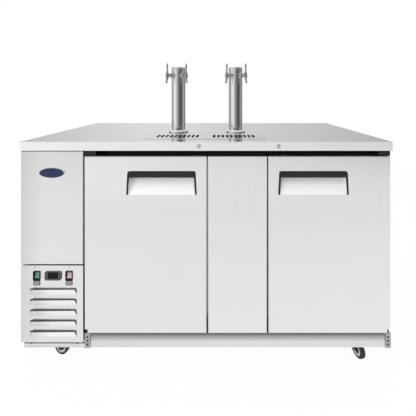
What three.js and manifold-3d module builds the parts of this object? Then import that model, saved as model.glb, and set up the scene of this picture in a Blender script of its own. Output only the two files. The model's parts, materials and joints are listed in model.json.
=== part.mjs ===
// A two-door draught beer cooler on casters, with two double-faucet towers, in millimetres.
// Z is up and the floor is at zero, the front faces -Y, and the origin is under the middle.
import * as THREE from 'three';
import { mergeVertices } from 'three/addons/utils/BufferGeometryUtils.js';
import Module from 'manifold-3d';

const wasm = await Module();
wasm.setup();

// Fits and tolerances that every piece shares
const touch = 0.3; // gap between two faces that rest on each other
const running = 0.4; // gap round a pin, axle or slide that moves
const overrun = 5; // how far a cut runs past the face that it opens
const weld = 0.0005; // corners nearer than this count as one

// Sides of round work
const fewSides = 12;
const someSides = 16;
const manySides = 32;
const slotSteps = 1; // a slot's end has one chamfer to each corner

// The countertop gives the overall width, depth and working height
const counter = {
  width: 1764,
  depth: 711,
  top: 1070,
  fascia: 42,
  sheet: 2,
  sideOverhang: 3,
  frontOverhang: 5,
  backOverhang: 2,
};

// The front, from left to right: compressor panels, left door, centre post, right door. The doors
// share the width that is left
const front = {
  panelWidth: 295,
  postWidth: 280,
  gap: 6,
  endGap: 5,
};

const door = {
  bottom: 162,
  topGap: 28,
  depth: 50,
  pinInset: 10,
  opening: 105,
};

const gasket = {
  inset: 14,
  width: 22,
  depth: 12,
};

const liner = {
  margin: 3,
  depth: 7,
};

const handle = {
  fromFreeEdge: 214,
  belowTop: 70,
  topWidth: 323,
  bottomWidth: 334,
  height: 112,
  bar: 31,
  leg: 10.5,
  corner: 11,
  proud: 3,
  lip: 14,
  lipSheet: 3,
  pocketDepth: 30,
  cover: 4,
  slopeShare: 0.62,
  bendShare: 0.45,
};

const hinge = {
  pinRadius: 4.5,
  collarRadius: 6,
  collarHeight: 18,
  notchGap: 0.7,
  pinLength: 30,
  boreSpare: 2,
  lowerWidth: 28,
  lowerPlate: 4,
  lowerLug: 5,
  lowerBottom: 91,
  lowerGap: 4,
  upperWidth: 55,
  upperLug: 4,
  upperGap: 3,
  upperFlange: 34,
  upperFront: 2,
  screwRadius: 4,
  screwProud: 1.5,
  screwPitch: 19,
  screwFromTop: 16,
  screwCount: 3,
};

const cabinet = {
  wall: 50,
  roof: 58,
  sealLap: 40,
  lineHole: 30,
  duct: 60,
};

const kegFloor = {
  sheet: 3,
  margin: 1,
};

const base = {
  sheet: 3,
  lip: 26,
  frontInset: 20,
  backInset: 2,
  apron: 22,
};

const kick = {
  recess: 13,
  bottom: 88,
  sheet: 2,
};

const panel = {
  sheet: 2,
  return: 60,
  split: 485.4,
  splitGap: 5.5,
  topGap: 3,
  louvreBottom: 114,
  flange: 20,
};

const louvre = {
  count: 5,
  left: 45,
  width: 219,
  firstTop: 374.4,
  pitch: 49.9,
  height: 30,
  proud: 7,
  skin: 1.4,
  slotBottom: 8,
  taper: 9.5,
};

const vent = {
  count: 12,
  slotHeight: 9,
  slotWidth: 210,
  pitch: 30,
  firstUp: 120,
};

const badge = {
  width: 123,
  height: 52,
  thickness: 1.5,
  fromLeft: 147,
  centreZ: 922,
};

const rockerSwitch = {
  width: 34,
  height: 42,
  proud: 3,
  corner: 3,
  bodyWidth: 27,
  bodyHeight: 36.5,
  bodyDepth: 22,
  windowWidth: 23.8,
  windowHeight: 32.6,
  windowDepth: 16,
  rockerWidth: 23,
  rockerReach: 14,
  rockerFace: 7,
  rockerDip: 4.5,
  rockerBack: 8,
  pivotDepth: 3,
  tilt: 9,
  centreZ: 435.5,
  leftFromEdge: 76,
  rightFromEdge: 229,
};

const thermostat = {
  width: 79,
  height: 41,
  proud: 4,
  corner: 8,
  bodyWidth: 71,
  bodyHeight: 29,
  bodyDepth: 50,
  displayWidth: 46,
  displayHeight: 30,
  displayDepth: 1.5,
  displayUp: 4,
  displayRight: 4,
  buttonWidth: 6,
  buttonHeight: 24,
  buttonOut: 29.5,
  buttonProud: 0.8,
  buttonTravel: 1.2,
  buttonDepth: 3,
  centreZ: 434.5,
  fromEdge: 154,
};

const lock = {
  headRadius: 9.5,
  proud: 3,
  barrelRadius: 8,
  barrelLength: 18,
  camWidth: 14,
  camThickness: 3,
  bite: 8,
  slotGap: 1.5,
  slotSpare: 5,
  slotSweep: 46,
  keyWidth: 1.6,
  keyLength: 10,
  keyDepth: 1.5,
  belowTop: 21,
  leftFromFreeEdge: 37,
  rightFromFreeEdge: 47,
};

const tray = {
  centreX: -10,
  length: 606,
  depth: 138,
  fromFront: 77,
  flange: 8,
  flangeThickness: 1.2,
  well: 25,
  sheet: 1.5,
  gap: 1,
  spoutRadius: 8,
  spoutBore: 6,
  spoutLength: 32,
};

const grille = {
  sheet: 2,
  groups: 2,
  slotsPerGroup: 10,
  groupSpacing: 296,
  slotPitch: 23,
  slotWidth: 12,
  slotLength: 74,
  fingerRadius: 6,
  lift: 60,
};

const tower = {
  centreX: -12,
  spacing: 340,
  fromFront: 305,
  radius: 41.5,
  wall: 2.5,
  height: 385,
  flangeRadius: 58,
  flangeHeight: 6,
  flangeEdge: 2.5,
  capHeight: 14,
  capPlug: 12,
  capShoulder: 7,
  shoulderShare: 0.9,
  crownShare: 0.62,
};

const faucet = {
  shankHeight: 333,
  yaw: 40,
  shankRadius: 11,
  shankInside: 12,
  nutRadius: 15,
  nutLength: 7,
  collarRadius: 16,
  collarLength: 6,
  couplingRadius: 14,
  couplingLength: 13,
  barrelRadius: 9,
  reach: 84,
  valveRadius: 10,
  valveBelow: 15,
  pivotUp: 4,
  cheekAbovePivot: 11,
  slotWidth: 7,
  slotBelowPivot: 7.5,
  spoutRadius: 6.2,
  spoutDrop: 46,
  spoutOut: 6,
  spoutBore: 4,
  spoutBoreDepth: 12,
};

const lever = {
  tangRadius: 6,
  tangGap: 0.4,
  stemRadius: 3.1,
  ferruleBottom: 16,
  ferruleHeight: 4,
  ferruleRadius: 7.2,
  neckRadius: 3.6,
  ballRadius: 6,
  ballUp: 28,
  gripBottom: 35,
  gripRadius: 5,
  tipRadius: 3.4,
  length: 64,
  pull: 35,
};

const caster = {
  overall: 100,
  wheelRadius: 38,
  wheelWidth: 26,
  tread: 6,
  treadBevel: 1.6,
  rimDish: 4,
  hubRadius: 12,
  hubProud: 1,
  axleRadius: 4,
  axleHead: 7,
  axleHeadDepth: 4,
  trail: 20,
  legGap: 2.5,
  legThickness: 3,
  legFoot: 9,
  crownRadius: 25,
  crownHeight: 13,
  plateWidth: 92,
  plateDepth: 64,
  plateThickness: 3,
  kingpinRadius: 6,
  kingpinLength: 10,
  fromSide: 136,
  fromFront: 52,
  yaws: [-13, -77, -20, 200],
};

const condenser = {
  width: 230,
  depth: 60,
  height: 282,
  endPlate: 2,
  fromFront: 40,
  finPitch: 17,
  groove: 9,
  grooveDepth: 7,
  foot: 12,
};

const fan = {
  centreUp: 145,
  shroudGap: 14,
  shroudSheet: 3,
  holeRadius: 102,
  bladeRadius: 95,
  bladeCount: 5,
  bladeWidth: 52,
  bladeThickness: 2,
  bladePitch: 28,
  hubRadius: 26,
  hubLength: 24,
  hubFromShroud: 12,
  shaftRadius: 4,
  motorRadius: 34,
  motorLength: 60,
  armWidth: 16,
  armDepth: 8,
  armCount: 3,
};

const compressor = {
  radius: 80,
  height: 200,
  centreY: 70,
  plateWidth: 210,
  plateDepth: 130,
  plateThickness: 4,
  grommetRadius: 14,
  grommetHeight: 12,
  boxWidth: 70,
  boxHeight: 80,
  boxDepth: 34,
  stubRadius: 6,
  stubLength: 36,
};

const evaporator = {
  depth: 80,
  height: 290,
  belowCeiling: 30,
  fromFrame: 165,
  fromBack: 67,
  sheet: 3,
  fanHole: 76,
  bladeRadius: 68,
  bladeWidth: 38,
  hubRadius: 18,
  hubLength: 18,
  motorRadius: 22,
  motorLength: 30,
  bridgeHeight: 26,
  bridgeSheet: 6,
};

// Planes and lines that neighbouring pieces share
const frontY = lock.proud - (counter.depth + lock.proud) / 2;
const backY = frontY + counter.depth;
const doorFrontY = frontY + counter.frontOverhang;
const bodyBackY = backY - counter.backOverhang;
const bodyHalf = counter.width / 2 - counter.sideOverhang;
const roofTopZ = counter.top - counter.sheet - touch;
const fasciaBottomZ = counter.top - counter.fascia;
const doorTopZ = fasciaBottomZ - door.topGap;
const gasketBackY = doorFrontY + door.depth + touch + gasket.depth;
const frameY = gasketBackY + touch;
const panelRightX = front.panelWidth - bodyHalf;
const doorsLeftX = panelRightX + front.gap;
const doorsRightX = bodyHalf - front.endGap;
const doorWidth = (doorsRightX - doorsLeftX - front.postWidth - front.gap - front.gap) / 2;
const leftHingeEdgeX = doorsLeftX;
const leftFreeEdgeX = leftHingeEdgeX + doorWidth;
const postLeftX = leftFreeEdgeX + front.gap;
const postRightX = postLeftX + front.postWidth;
const rightFreeEdgeX = postRightX + front.gap;
const rightHingeEdgeX = rightFreeEdgeX + doorWidth;
const cabinetLeftX = panelRightX + front.gap / 2;
const cavityLeftX = cabinetLeftX + cabinet.wall;
const cavityRightX = bodyHalf - cabinet.wall;
const cavityFrontY = frameY + cabinet.wall;
const cavityBackY = bodyBackY - cabinet.wall;
const ceilingZ = roofTopZ - cabinet.roof;
const sillZ = door.bottom + cabinet.sealLap;
const headerZ = doorTopZ - cabinet.sealLap;
const baseTopZ = caster.overall + base.sheet;
const baseFrontY = doorFrontY + base.frontInset;
const baseBackY = bodyBackY - base.backInset;
const kickFrontY = doorFrontY + kick.recess;
const lugTopZ = door.bottom - hinge.lowerGap;
const lugBottomZ = lugTopZ - hinge.lowerLug;
const upperLugZ = doorTopZ + hinge.upperGap;
const pinY = doorFrontY + door.pinInset;
const lockZ = counter.top - lock.belowTop;
const camLength = lockZ - doorTopZ + lock.bite;
const trayCentreY = frontY + tray.fromFront + tray.depth / 2;
const towerY = frontY + tower.fromFront;
const bayCentreX = (cabinetLeftX - bodyHalf) / 2;

// Finishes
function finish(color, roughness, metalness) {
  return new THREE.MeshStandardMaterial({ color, roughness, metalness });
}
const stainless = finish(0xdcdcdb, 0.35, 0.9);
const liningSteel = finish(0xc9cccb, 0.45, 0.9);
const polished = finish(0xe8e8e8, 0.08, 1);
const galvanised = finish(0xa9adad, 0.5, 0.8);
const darkSteel = finish(0x5e6060, 0.5, 0.7);
const blackPlastic = finish(0x26272a, 0.45, 0);
const greyPlastic = finish(0x6c716f, 0.5, 0);
const gasketVinyl = finish(0x3a3b3c, 0.7, 0);
const blackRubber = finish(0x1e1f1f, 0.8, 0);
const navyEnamel = finish(0x1d3a6e, 0.3, 0);
const greenLens = finish(0x2f8a66, 0.25, 0);
const roseLens = finish(0xe0a9a6, 0.25, 0);
const blackEnamel = finish(0x17181a, 0.4, 0.1);
const copperFins = finish(0xb9bab5, 0.5, 0.7);

// Solid helpers: three.js makes every shape, and the boolean library only joins and cuts
function solidFrom(geometry) {
  const bare = geometry.clone();
  bare.deleteAttribute('normal');
  bare.deleteAttribute('uv');
  const merged = mergeVertices(bare, weld);
  const vertProperties = new Float32Array(merged.attributes.position.array);
  const triVerts = new Uint32Array(merged.index.array);
  return new wasm.Manifold(new wasm.Mesh({ numProp: 3, vertProperties, triVerts }));
}

function geometryFrom(solid) {
  const mesh = solid.getMesh();
  const geometry = new THREE.BufferGeometry();
  geometry.setAttribute('position', new THREE.BufferAttribute(mesh.vertProperties, 3));
  geometry.setIndex(new THREE.BufferAttribute(mesh.triVerts, 1));
  geometry.computeVertexNormals();
  return geometry;
}

function joined(...solids) {
  return solids.reduce((whole, next) => whole.add(next));
}

function cutBy(solid, ...cutters) {
  return cutters.reduce((left, cutter) => left.subtract(cutter), solid);
}

function box(xs, ys, zs) {
  const geometry = new THREE.BoxGeometry(xs[1] - xs[0], ys[1] - ys[0], zs[1] - zs[0]);
  geometry.translate((xs[0] + xs[1]) / 2, (ys[0] + ys[1]) / 2, (zs[0] + zs[1]) / 2);
  return solidFrom(geometry);
}

const quarter = Math.PI / 2;

// Turns a shape made along Z so that it lies along X or Y
function laidAlong(geometry, axis) {
  if (axis === 'x') geometry.rotateY(quarter);
  if (axis === 'y') geometry.rotateX(-quarter);
  return geometry;
}

// A round bar along an axis, from one place on it to another
function rod(radius, from, to, axis = 'z', at = [0, 0, 0], sides = someSides) {
  const geometry = new THREE.CylinderGeometry(radius, radius, to - from, sides);
  geometry.rotateX(quarter);
  geometry.translate(0, 0, (from + to) / 2);
  laidAlong(geometry, axis);
  geometry.translate(...at);
  return solidFrom(geometry);
}

// A body of revolution: the profile's points are radius and height, and it turns round Z
function turned(profile, sides = someSides, axis = 'z') {
  const points = profile.map(([radius, height]) => new THREE.Vector2(radius, height));
  const geometry = new THREE.LatheGeometry(points, sides);
  geometry.rotateX(quarter);
  laidAlong(geometry, axis);
  return solidFrom(geometry);
}

// An outline in X and Y, raised from one height to another
function slab(shape, from, to, steps = 4) {
  const settings = { depth: to - from, bevelEnabled: false, curveSegments: steps };
  const geometry = new THREE.ExtrudeGeometry(shape, settings);
  geometry.translate(0, 0, from);
  return solidFrom(geometry);
}

// An outline in X and Z, as seen from the front, thickened in Y
function sheetFacing(shape, from, to, steps = 4) {
  const settings = { depth: to - from, bevelEnabled: false, curveSegments: steps };
  const geometry = new THREE.ExtrudeGeometry(shape, settings);
  geometry.rotateX(quarter);
  geometry.translate(0, to, 0);
  return solidFrom(geometry);
}

// An outline in Y and Z, as seen from the side, thickened in X
function sheetSideways(shape, from, to, steps = 4) {
  const settings = { depth: to - from, bevelEnabled: false, curveSegments: steps };
  const geometry = new THREE.ExtrudeGeometry(shape, settings);
  const turn = new THREE.Matrix4().makeBasis(
    new THREE.Vector3(0, 1, 0),
    new THREE.Vector3(0, 0, 1),
    new THREE.Vector3(1, 0, 0),
  );
  geometry.applyMatrix4(turn);
  geometry.translate(from, 0, 0);
  return solidFrom(geometry);
}

function polygon(points) {
  return new THREE.Shape(points.map(([u, v]) => new THREE.Vector2(u, v)));
}

function roundedRectangle(u, v, width, height, corner) {
  const right = u + width / 2;
  const left = u - width / 2;
  const top = v + height / 2;
  const bottom = v - height / 2;
  const shape = new THREE.Shape();
  shape.moveTo(left + corner, bottom);
  shape.lineTo(right - corner, bottom);
  shape.absarc(right - corner, bottom + corner, corner, -quarter, 0);
  shape.lineTo(right, top - corner);
  shape.absarc(right - corner, top - corner, corner, 0, quarter);
  shape.lineTo(left + corner, top);
  shape.absarc(left + corner, top - corner, corner, quarter, Math.PI);
  shape.lineTo(left, bottom + corner);
  shape.absarc(left + corner, bottom + corner, corner, Math.PI, 3 * quarter);
  return shape;
}

// The span from one distance to another, on the side that the sign gives
function span(side, from, to) {
  return side > 0 ? [from, to] : [-to, -from];
}

function around(centre, width) {
  return [centre - width / 2, centre + width / 2];
}

function addNode(group, name, solid, material) {
  const mesh = new THREE.Mesh(geometryFrom(solid), material);
  mesh.name = name;
  group.add(mesh);
  return mesh;
}

function groupAt(parent, x, y, z) {
  const group = new THREE.Group();
  group.position.set(x, y, z);
  parent.add(group);
  return group;
}

// Where the four casters stand: front left, front right, rear left, rear right
const casterX = bodyHalf - caster.fromSide;
const casterFrontY = baseFrontY + caster.fromFront;
const casterBackY = baseBackY - caster.fromFront;
const casterPlaces = [
  { name: 'front_left', x: -casterX, y: casterFrontY },
  { name: 'front_right', x: casterX, y: casterFrontY },
  { name: 'rear_left', x: -casterX, y: casterBackY },
  { name: 'rear_right', x: casterX, y: casterBackY },
];

// Base frame: floor sheet, lips, the apron of the compressor bay, caster plates and kingpins
function baseFrame() {
  const xs = [-bodyHalf, bodyHalf];
  const ys = [baseFrontY, baseBackY];
  const plate = box(xs, ys, [caster.overall, baseTopZ]);
  const lipBottom = caster.overall - base.lip;
  const skirt = box(xs, ys, [lipBottom, baseTopZ]);
  const inside = box(
    [xs[0] + base.sheet, xs[1] - base.sheet],
    [ys[0] + base.sheet, ys[1] - base.sheet],
    [lipBottom - overrun, caster.overall],
  );
  const apron = box(
    [panel.sheet + touch - bodyHalf, panelRightX - panel.sheet - touch],
    [baseFrontY, baseFrontY + base.sheet],
    [caster.overall, baseTopZ + base.apron],
  );
  let frame = joined(cutBy(skirt, inside), plate, apron);
  for (const place of casterPlaces) {
    const plateBottom = caster.overall - caster.plateThickness;
    const pad = box(
      around(place.x, caster.plateWidth),
      around(place.y, caster.plateDepth),
      [plateBottom, baseTopZ],
    );
    const kingpin = rod(
      caster.kingpinRadius,
      plateBottom - caster.kingpinLength,
      baseTopZ,
      'z',
      [place.x, place.y, 0],
      fewSides,
    );
    frame = joined(frame, pad, kingpin);
  }
  return frame;
}

// Kick rail: a folded channel in front of the cabinet, under the doors, with closed ends
function kickRail() {
  const xs = [panelRightX + front.gap, bodyHalf];
  const top = lugBottomZ - touch;
  const outer = box(xs, [kickFrontY, frameY - touch], [kick.bottom, top]);
  const hollow = box(
    [xs[0] + kick.sheet, xs[1] - kick.sheet],
    [kickFrontY + kick.sheet, frameY + overrun],
    [kick.bottom + kick.sheet, top - kick.sheet],
  );
  const overBase = box(
    [xs[0] - overrun, xs[1] + overrun],
    [baseFrontY - touch, frameY + overrun],
    [kick.bottom - overrun, baseTopZ + touch],
  );
  return cutBy(outer, hollow, overBase);
}

// Insulated cabinet: one keg compartment, open at the front. Its roof has a pocket for the drip
// tray and a square duct under each tower
function insulatedCabinet() {
  const shell = box([cabinetLeftX, bodyHalf], [frameY, bodyBackY], [baseTopZ + touch, roofTopZ]);
  const cavity = box(
    [cavityLeftX, cavityRightX],
    [cavityFrontY, cavityBackY],
    [sillZ, ceilingZ],
  );
  const doorway = box(
    [cavityLeftX, cavityRightX],
    [frameY - overrun, cavityFrontY + overrun],
    [sillZ, headerZ],
  );
  const trayPocket = box(
    around(tray.centreX, tray.length + tray.gap),
    around(trayCentreY, tray.depth + tray.gap),
    [counter.top - tray.well - tray.sheet - tray.gap, roofTopZ + overrun],
  );
  const drainHole = rod(
    tray.spoutRadius + tray.gap,
    ceilingZ - overrun,
    roofTopZ,
    'z',
    [tray.centreX, trayCentreY, 0],
  );
  return cutBy(shell, cavity, doorway, trayPocket, drainHole, roofDuct(-1), roofDuct(1));
}

function roofDuct(side) {
  const xs = around(towerX(side), cabinet.duct);
  return box(xs, around(towerY, cabinet.duct), [ceilingZ - overrun, roofTopZ + overrun]);
}

function towerX(side) {
  return tower.centreX + (side * tower.spacing) / 2;
}

// The countertop's hole for the beer lines and the cold air of one tower
function lineHole(side, from, to) {
  return rod(cabinet.lineHole, from, to, 'z', [towerX(side), towerY, 0]);
}

// Keg floor plate, laid in the compartment
function kegFloorPlate() {
  return box(
    [cavityLeftX + kegFloor.margin, cavityRightX - kegFloor.margin],
    [cavityFrontY + kegFloor.margin, cavityBackY - kegFloor.margin],
    [sillZ + touch, sillZ + touch + kegFloor.sheet],
  );
}

// Centre post: a front box between the doors, and the wider mullion that their gaskets meet
function centrePost() {
  const face = box([postLeftX, postRightX], [doorFrontY, frameY - touch], [door.bottom, doorTopZ]);
  const neck = box(
    [postLeftX, postRightX],
    [frameY - overrun, frameY + overrun],
    [sillZ + touch, headerZ - touch],
  );
  const mullion = box(
    [leftFreeEdgeX - cabinet.sealLap, rightFreeEdgeX + cabinet.sealLap],
    [frameY, cavityFrontY],
    [sillZ + touch, headerZ - touch],
  );
  return joined(face, neck, mullion);
}

// Side panel of the compressor bay, with a floor flange and a flange for the vent panel
function sidePanel() {
  const startY = doorFrontY + panel.return + touch;
  const endY = bodyBackY - panel.sheet - touch;
  const bottom = baseTopZ + touch;
  const inner = panel.sheet - bodyHalf;
  const wall = box([-bodyHalf, inner], [startY, endY], [bottom, roofTopZ]);
  const floorFlange = box(
    [-bodyHalf, panel.flange - bodyHalf],
    [startY, endY],
    [bottom, bottom + panel.sheet],
  );
  const backFlange = box(
    [-bodyHalf, panel.flange - bodyHalf],
    [endY - panel.sheet, endY],
    [bottom, roofTopZ],
  );
  return joined(wall, floorFlange, backFlange);
}

// Rear vent panel of the compressor bay
function rearVentPanel() {
  const xs = [-bodyHalf, cabinetLeftX - touch];
  const bottom = baseTopZ + touch;
  let sheet = box(xs, [bodyBackY - panel.sheet, bodyBackY], [bottom, roofTopZ]);
  for (let row = 0; row < vent.count; row += 1) {
    const z = bottom + vent.firstUp + row * vent.pitch;
    const slot = roundedRectangle(bayCentreX, z, vent.slotWidth, vent.slotHeight, vent.slotHeight / 2);
    const cutter = sheetFacing(slot, bodyBackY - panel.sheet - overrun, bodyBackY + overrun, slotSteps);
    sheet = cutBy(sheet, cutter);
  }
  return sheet;
}

// A folded panel of the compressor bay: a face with returns on its four sides
function foldedPanel(bottom, top) {
  const back = doorFrontY + panel.return;
  const outer = box([-bodyHalf, panelRightX], [doorFrontY, back], [bottom, top]);
  const inner = box(
    [panel.sheet - bodyHalf, panelRightX - panel.sheet],
    [doorFrontY + panel.sheet, back + overrun],
    [bottom + panel.sheet, top - panel.sheet],
  );
  return cutBy(outer, inner);
}

function upperFrontPanel() {
  return foldedPanel(panel.split + panel.splitGap / 2, fasciaBottomZ - panel.topGap);
}

// What lies beside the slanted ends of a louvre, which is narrower at its top
function besideLouvre(top, spare) {
  const bottom = top - louvre.height;
  const middle = louvre.left - bodyHalf + louvre.width / 2;
  const low = louvre.width / 2 + spare;
  const high = low - louvre.taper;
  const ys = [doorFrontY - louvre.proud - overrun, doorFrontY + panel.sheet + overrun + overrun];
  const sides = [];
  for (const side of [-1, 1]) {
    const corner = polygon([
      [middle + side * low, bottom],
      [middle + side * (low + overrun), bottom],
      [middle + side * (low + overrun), top + overrun],
      [middle + side * high, top + overrun],
      [middle + side * high, top],
    ]);
    sides.push(sheetFacing(corner, ys[0], ys[1]));
  }
  return sides;
}

// One pressed louvre: a flap bent out about its lower edge, so the air goes in at its top and ends
function louvreFlap(top) {
  const bottom = top - louvre.height;
  const xs = [louvre.left - bodyHalf, louvre.left - bodyHalf + louvre.width];
  const outerY = doorFrontY - louvre.proud;
  const wedge = polygon([
    [doorFrontY + touch, bottom],
    [outerY, top],
    [doorFrontY + touch, top],
  ]);
  return cutBy(sheetSideways(wedge, xs[0], xs[1]), ...besideLouvre(top, 0));
}

function louvreOpening(top) {
  const bottom = top - louvre.height + louvre.slotBottom;
  const left = louvre.left - bodyHalf - touch;
  const right = louvre.left - bodyHalf + louvre.width + touch;
  const innerY = doorFrontY - louvre.proud + louvre.skin;
  const hollow = polygon([
    [doorFrontY + panel.sheet + overrun, bottom],
    [doorFrontY, bottom],
    [innerY, top],
    [innerY, top + touch],
    [doorFrontY, top + touch],
    [doorFrontY + panel.sheet + overrun, top - touch],
  ]);
  return cutBy(sheetSideways(hollow, left, right), ...besideLouvre(top, touch));
}

// Louvre panel: the lower compressor panel, with five louvres and the windows of the controls
function louvrePanel() {
  const bottom = panel.louvreBottom;
  let sheet = foldedPanel(bottom, panel.split - panel.splitGap / 2);
  const underApron = box(
    [panel.sheet - bodyHalf, panelRightX - panel.sheet],
    [baseFrontY - touch, doorFrontY + panel.return + overrun],
    [bottom - overrun, bottom + panel.sheet + overrun],
  );
  sheet = cutBy(sheet, underApron);
  for (let row = 0; row < louvre.count; row += 1) {
    const top = louvre.firstTop - row * louvre.pitch;
    sheet = cutBy(joined(sheet, louvreFlap(top)), louvreOpening(top));
  }
  const window = [doorFrontY - overrun, doorFrontY + panel.sheet + overrun];
  for (const fromEdge of [rockerSwitch.leftFromEdge, rockerSwitch.rightFromEdge]) {
    const hole = box(
      around(fromEdge - bodyHalf, rockerSwitch.bodyWidth + running),
      window,
      around(rockerSwitch.centreZ, rockerSwitch.bodyHeight + running),
    );
    sheet = cutBy(sheet, hole);
  }
  const thermostatHole = box(
    around(thermostat.fromEdge - bodyHalf, thermostat.bodyWidth + running),
    window,
    around(thermostat.centreZ, thermostat.bodyHeight + running),
  );
  return cutBy(sheet, thermostatHole);
}

// Badge plate: a bare oval on the upper panel
function badgePlate() {
  const shape = new THREE.Shape();
  const x = badge.fromLeft - bodyHalf;
  shape.absellipse(x, badge.centreZ, badge.width / 2, badge.height / 2, 0, 2 * Math.PI);
  const face = doorFrontY - touch;
  return sheetFacing(shape, face - badge.thickness, face, someSides / 2);
}

// Countertop: folded sheet with a skirt on all sides, the tray opening and the line holes
function countertop() {
  const xs = [-counter.width / 2, counter.width / 2];
  const outer = box(xs, [frontY, backY], [fasciaBottomZ, counter.top]);
  const inner = box(
    [xs[0] + counter.sheet, xs[1] - counter.sheet],
    [frontY + counter.sheet, backY - counter.backOverhang + touch],
    [fasciaBottomZ - overrun, counter.top - counter.sheet],
  );
  const trayOpening = box(
    around(tray.centreX, tray.length + tray.gap),
    around(trayCentreY, tray.depth + tray.gap),
    [fasciaBottomZ, counter.top + overrun],
  );
  let top = cutBy(outer, inner, trayOpening);
  for (const side of [-1, 1]) {
    const cutter = lineHole(side, fasciaBottomZ, counter.top + overrun);
    top = cutBy(top, cutter);
    const barrelHole = rod(
      lock.barrelRadius + running,
      frontY - overrun,
      frontY + counter.sheet + overrun,
      'y',
      [lockX(side), 0, lockZ],
    );
    top = cutBy(top, barrelHole);
  }
  return top;
}

// Drip pan: a well hung on its flange, with a drain spout
function dripPan() {
  const flangeZ = counter.top + touch;
  const bottom = counter.top - tray.well - tray.sheet;
  const flange = box(
    around(tray.centreX, tray.length + tray.flange + tray.flange),
    around(trayCentreY, tray.depth + tray.flange + tray.flange),
    [flangeZ, flangeZ + tray.flangeThickness],
  );
  const well = box(
    around(tray.centreX, tray.length),
    around(trayCentreY, tray.depth),
    [bottom, flangeZ + tray.flangeThickness],
  );
  const spoutAt = [tray.centreX, trayCentreY, 0];
  const spout = rod(tray.spoutRadius, bottom - tray.spoutLength, bottom + tray.sheet, 'z', spoutAt, fewSides);
  const hollow = box(
    around(tray.centreX, tray.length - tray.sheet - tray.sheet),
    around(trayCentreY, tray.depth - tray.sheet - tray.sheet),
    [bottom + tray.sheet, flangeZ + overrun],
  );
  const bore = rod(tray.spoutBore, bottom - tray.spoutLength - overrun, flangeZ, 'z', spoutAt, fewSides);
  return cutBy(joined(flange, well, spout), hollow, bore);
}

// Drip grille: a slotted sheet whose folded edges stand on the floor of the pan
function dripGrille() {
  const length = tray.length - tray.sheet - tray.sheet - tray.gap;
  const depth = tray.depth - tray.sheet - tray.sheet - tray.gap;
  const panFloor = counter.top - tray.well;
  const top = counter.top + tray.flangeThickness;
  const outer = box(
    around(tray.centreX, length),
    around(trayCentreY, depth),
    [panFloor + touch, top],
  );
  const inner = box(
    around(tray.centreX, length - grille.sheet - grille.sheet),
    around(trayCentreY, depth - grille.sheet - grille.sheet),
    [panFloor - overrun, top - grille.sheet],
  );
  const half = (grille.slotsPerGroup - 1) / 2;
  const slots = [];
  for (const side of [-1, 1]) {
    const middle = tray.centreX + (side * grille.groupSpacing) / 2;
    for (let slot = 0; slot < grille.slotsPerGroup; slot += 1) {
      const x = middle + (slot - half) * grille.slotPitch;
      const outline = roundedRectangle(
        x,
        trayCentreY,
        grille.slotWidth,
        grille.slotLength,
        grille.slotWidth / 2,
      );
      slots.push(slab(outline, top - grille.sheet - overrun, top + overrun, slotSteps));
    }
  }
  const fingerHole = rod(
    grille.fingerRadius,
    top - grille.sheet - overrun,
    top + overrun,
    'z',
    [tray.centreX, trayCentreY, 0],
    fewSides,
  );
  return cutBy(outer, inner, ...slots, fingerHole);
}

// Lower hinge bracket: a plate on the kick rail, a lug under the door, the pin and its collar
function lowerHinge(side) {
  const edge = span(side, -door.pinInset, hinge.lowerWidth - door.pinInset);
  const plateBack = kickFrontY - pinY - touch;
  const plate = box(edge, [plateBack - hinge.lowerPlate, plateBack], [hinge.lowerBottom, lugTopZ]);
  const lugRadius = hinge.lowerWidth / 2;
  const lug = box(edge, [-hinge.collarRadius, lugRadius], [lugBottomZ, lugTopZ]);
  const collar = rod(hinge.collarRadius, lugBottomZ, door.bottom + hinge.collarHeight, 'z', [0, 0, 0], fewSides);
  const pin = rod(hinge.pinRadius, lugBottomZ, lugTopZ + hinge.pinLength, 'z', [0, 0, 0], fewSides);
  let bracket = joined(plate, lug, collar, pin);
  const screwX = side * (hinge.lowerWidth / 2 - door.pinInset);
  for (let row = 0; row < hinge.screwCount; row += 1) {
    const z = lugTopZ - hinge.screwFromTop - row * hinge.screwPitch;
    const face = plateBack - hinge.lowerPlate;
    const head = rod(hinge.screwRadius, face - hinge.screwProud, face + touch, 'y', [screwX, 0, z], fewSides);
    bracket = joined(bracket, head);
  }
  return bracket;
}

// Upper hinge bracket: a flange on the header, a lug over the door and a pin down into it
function upperHinge(side) {
  const edge = span(side, -door.pinInset, hinge.upperWidth - door.pinInset);
  const back = frameY - pinY - touch;
  const frontEdge = hinge.upperFront - door.pinInset;
  const lug = box(edge, [frontEdge, back], [upperLugZ, upperLugZ + hinge.upperLug]);
  const flange = box(edge, [back - hinge.upperLug, back], [upperLugZ, upperLugZ + hinge.upperFlange]);
  const pinBottom = doorTopZ - hinge.pinLength;
  const pin = rod(hinge.pinRadius, pinBottom, upperLugZ + hinge.upperLug, 'z', [0, 0, 0], fewSides);
  return joined(lug, flange, pin);
}

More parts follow.
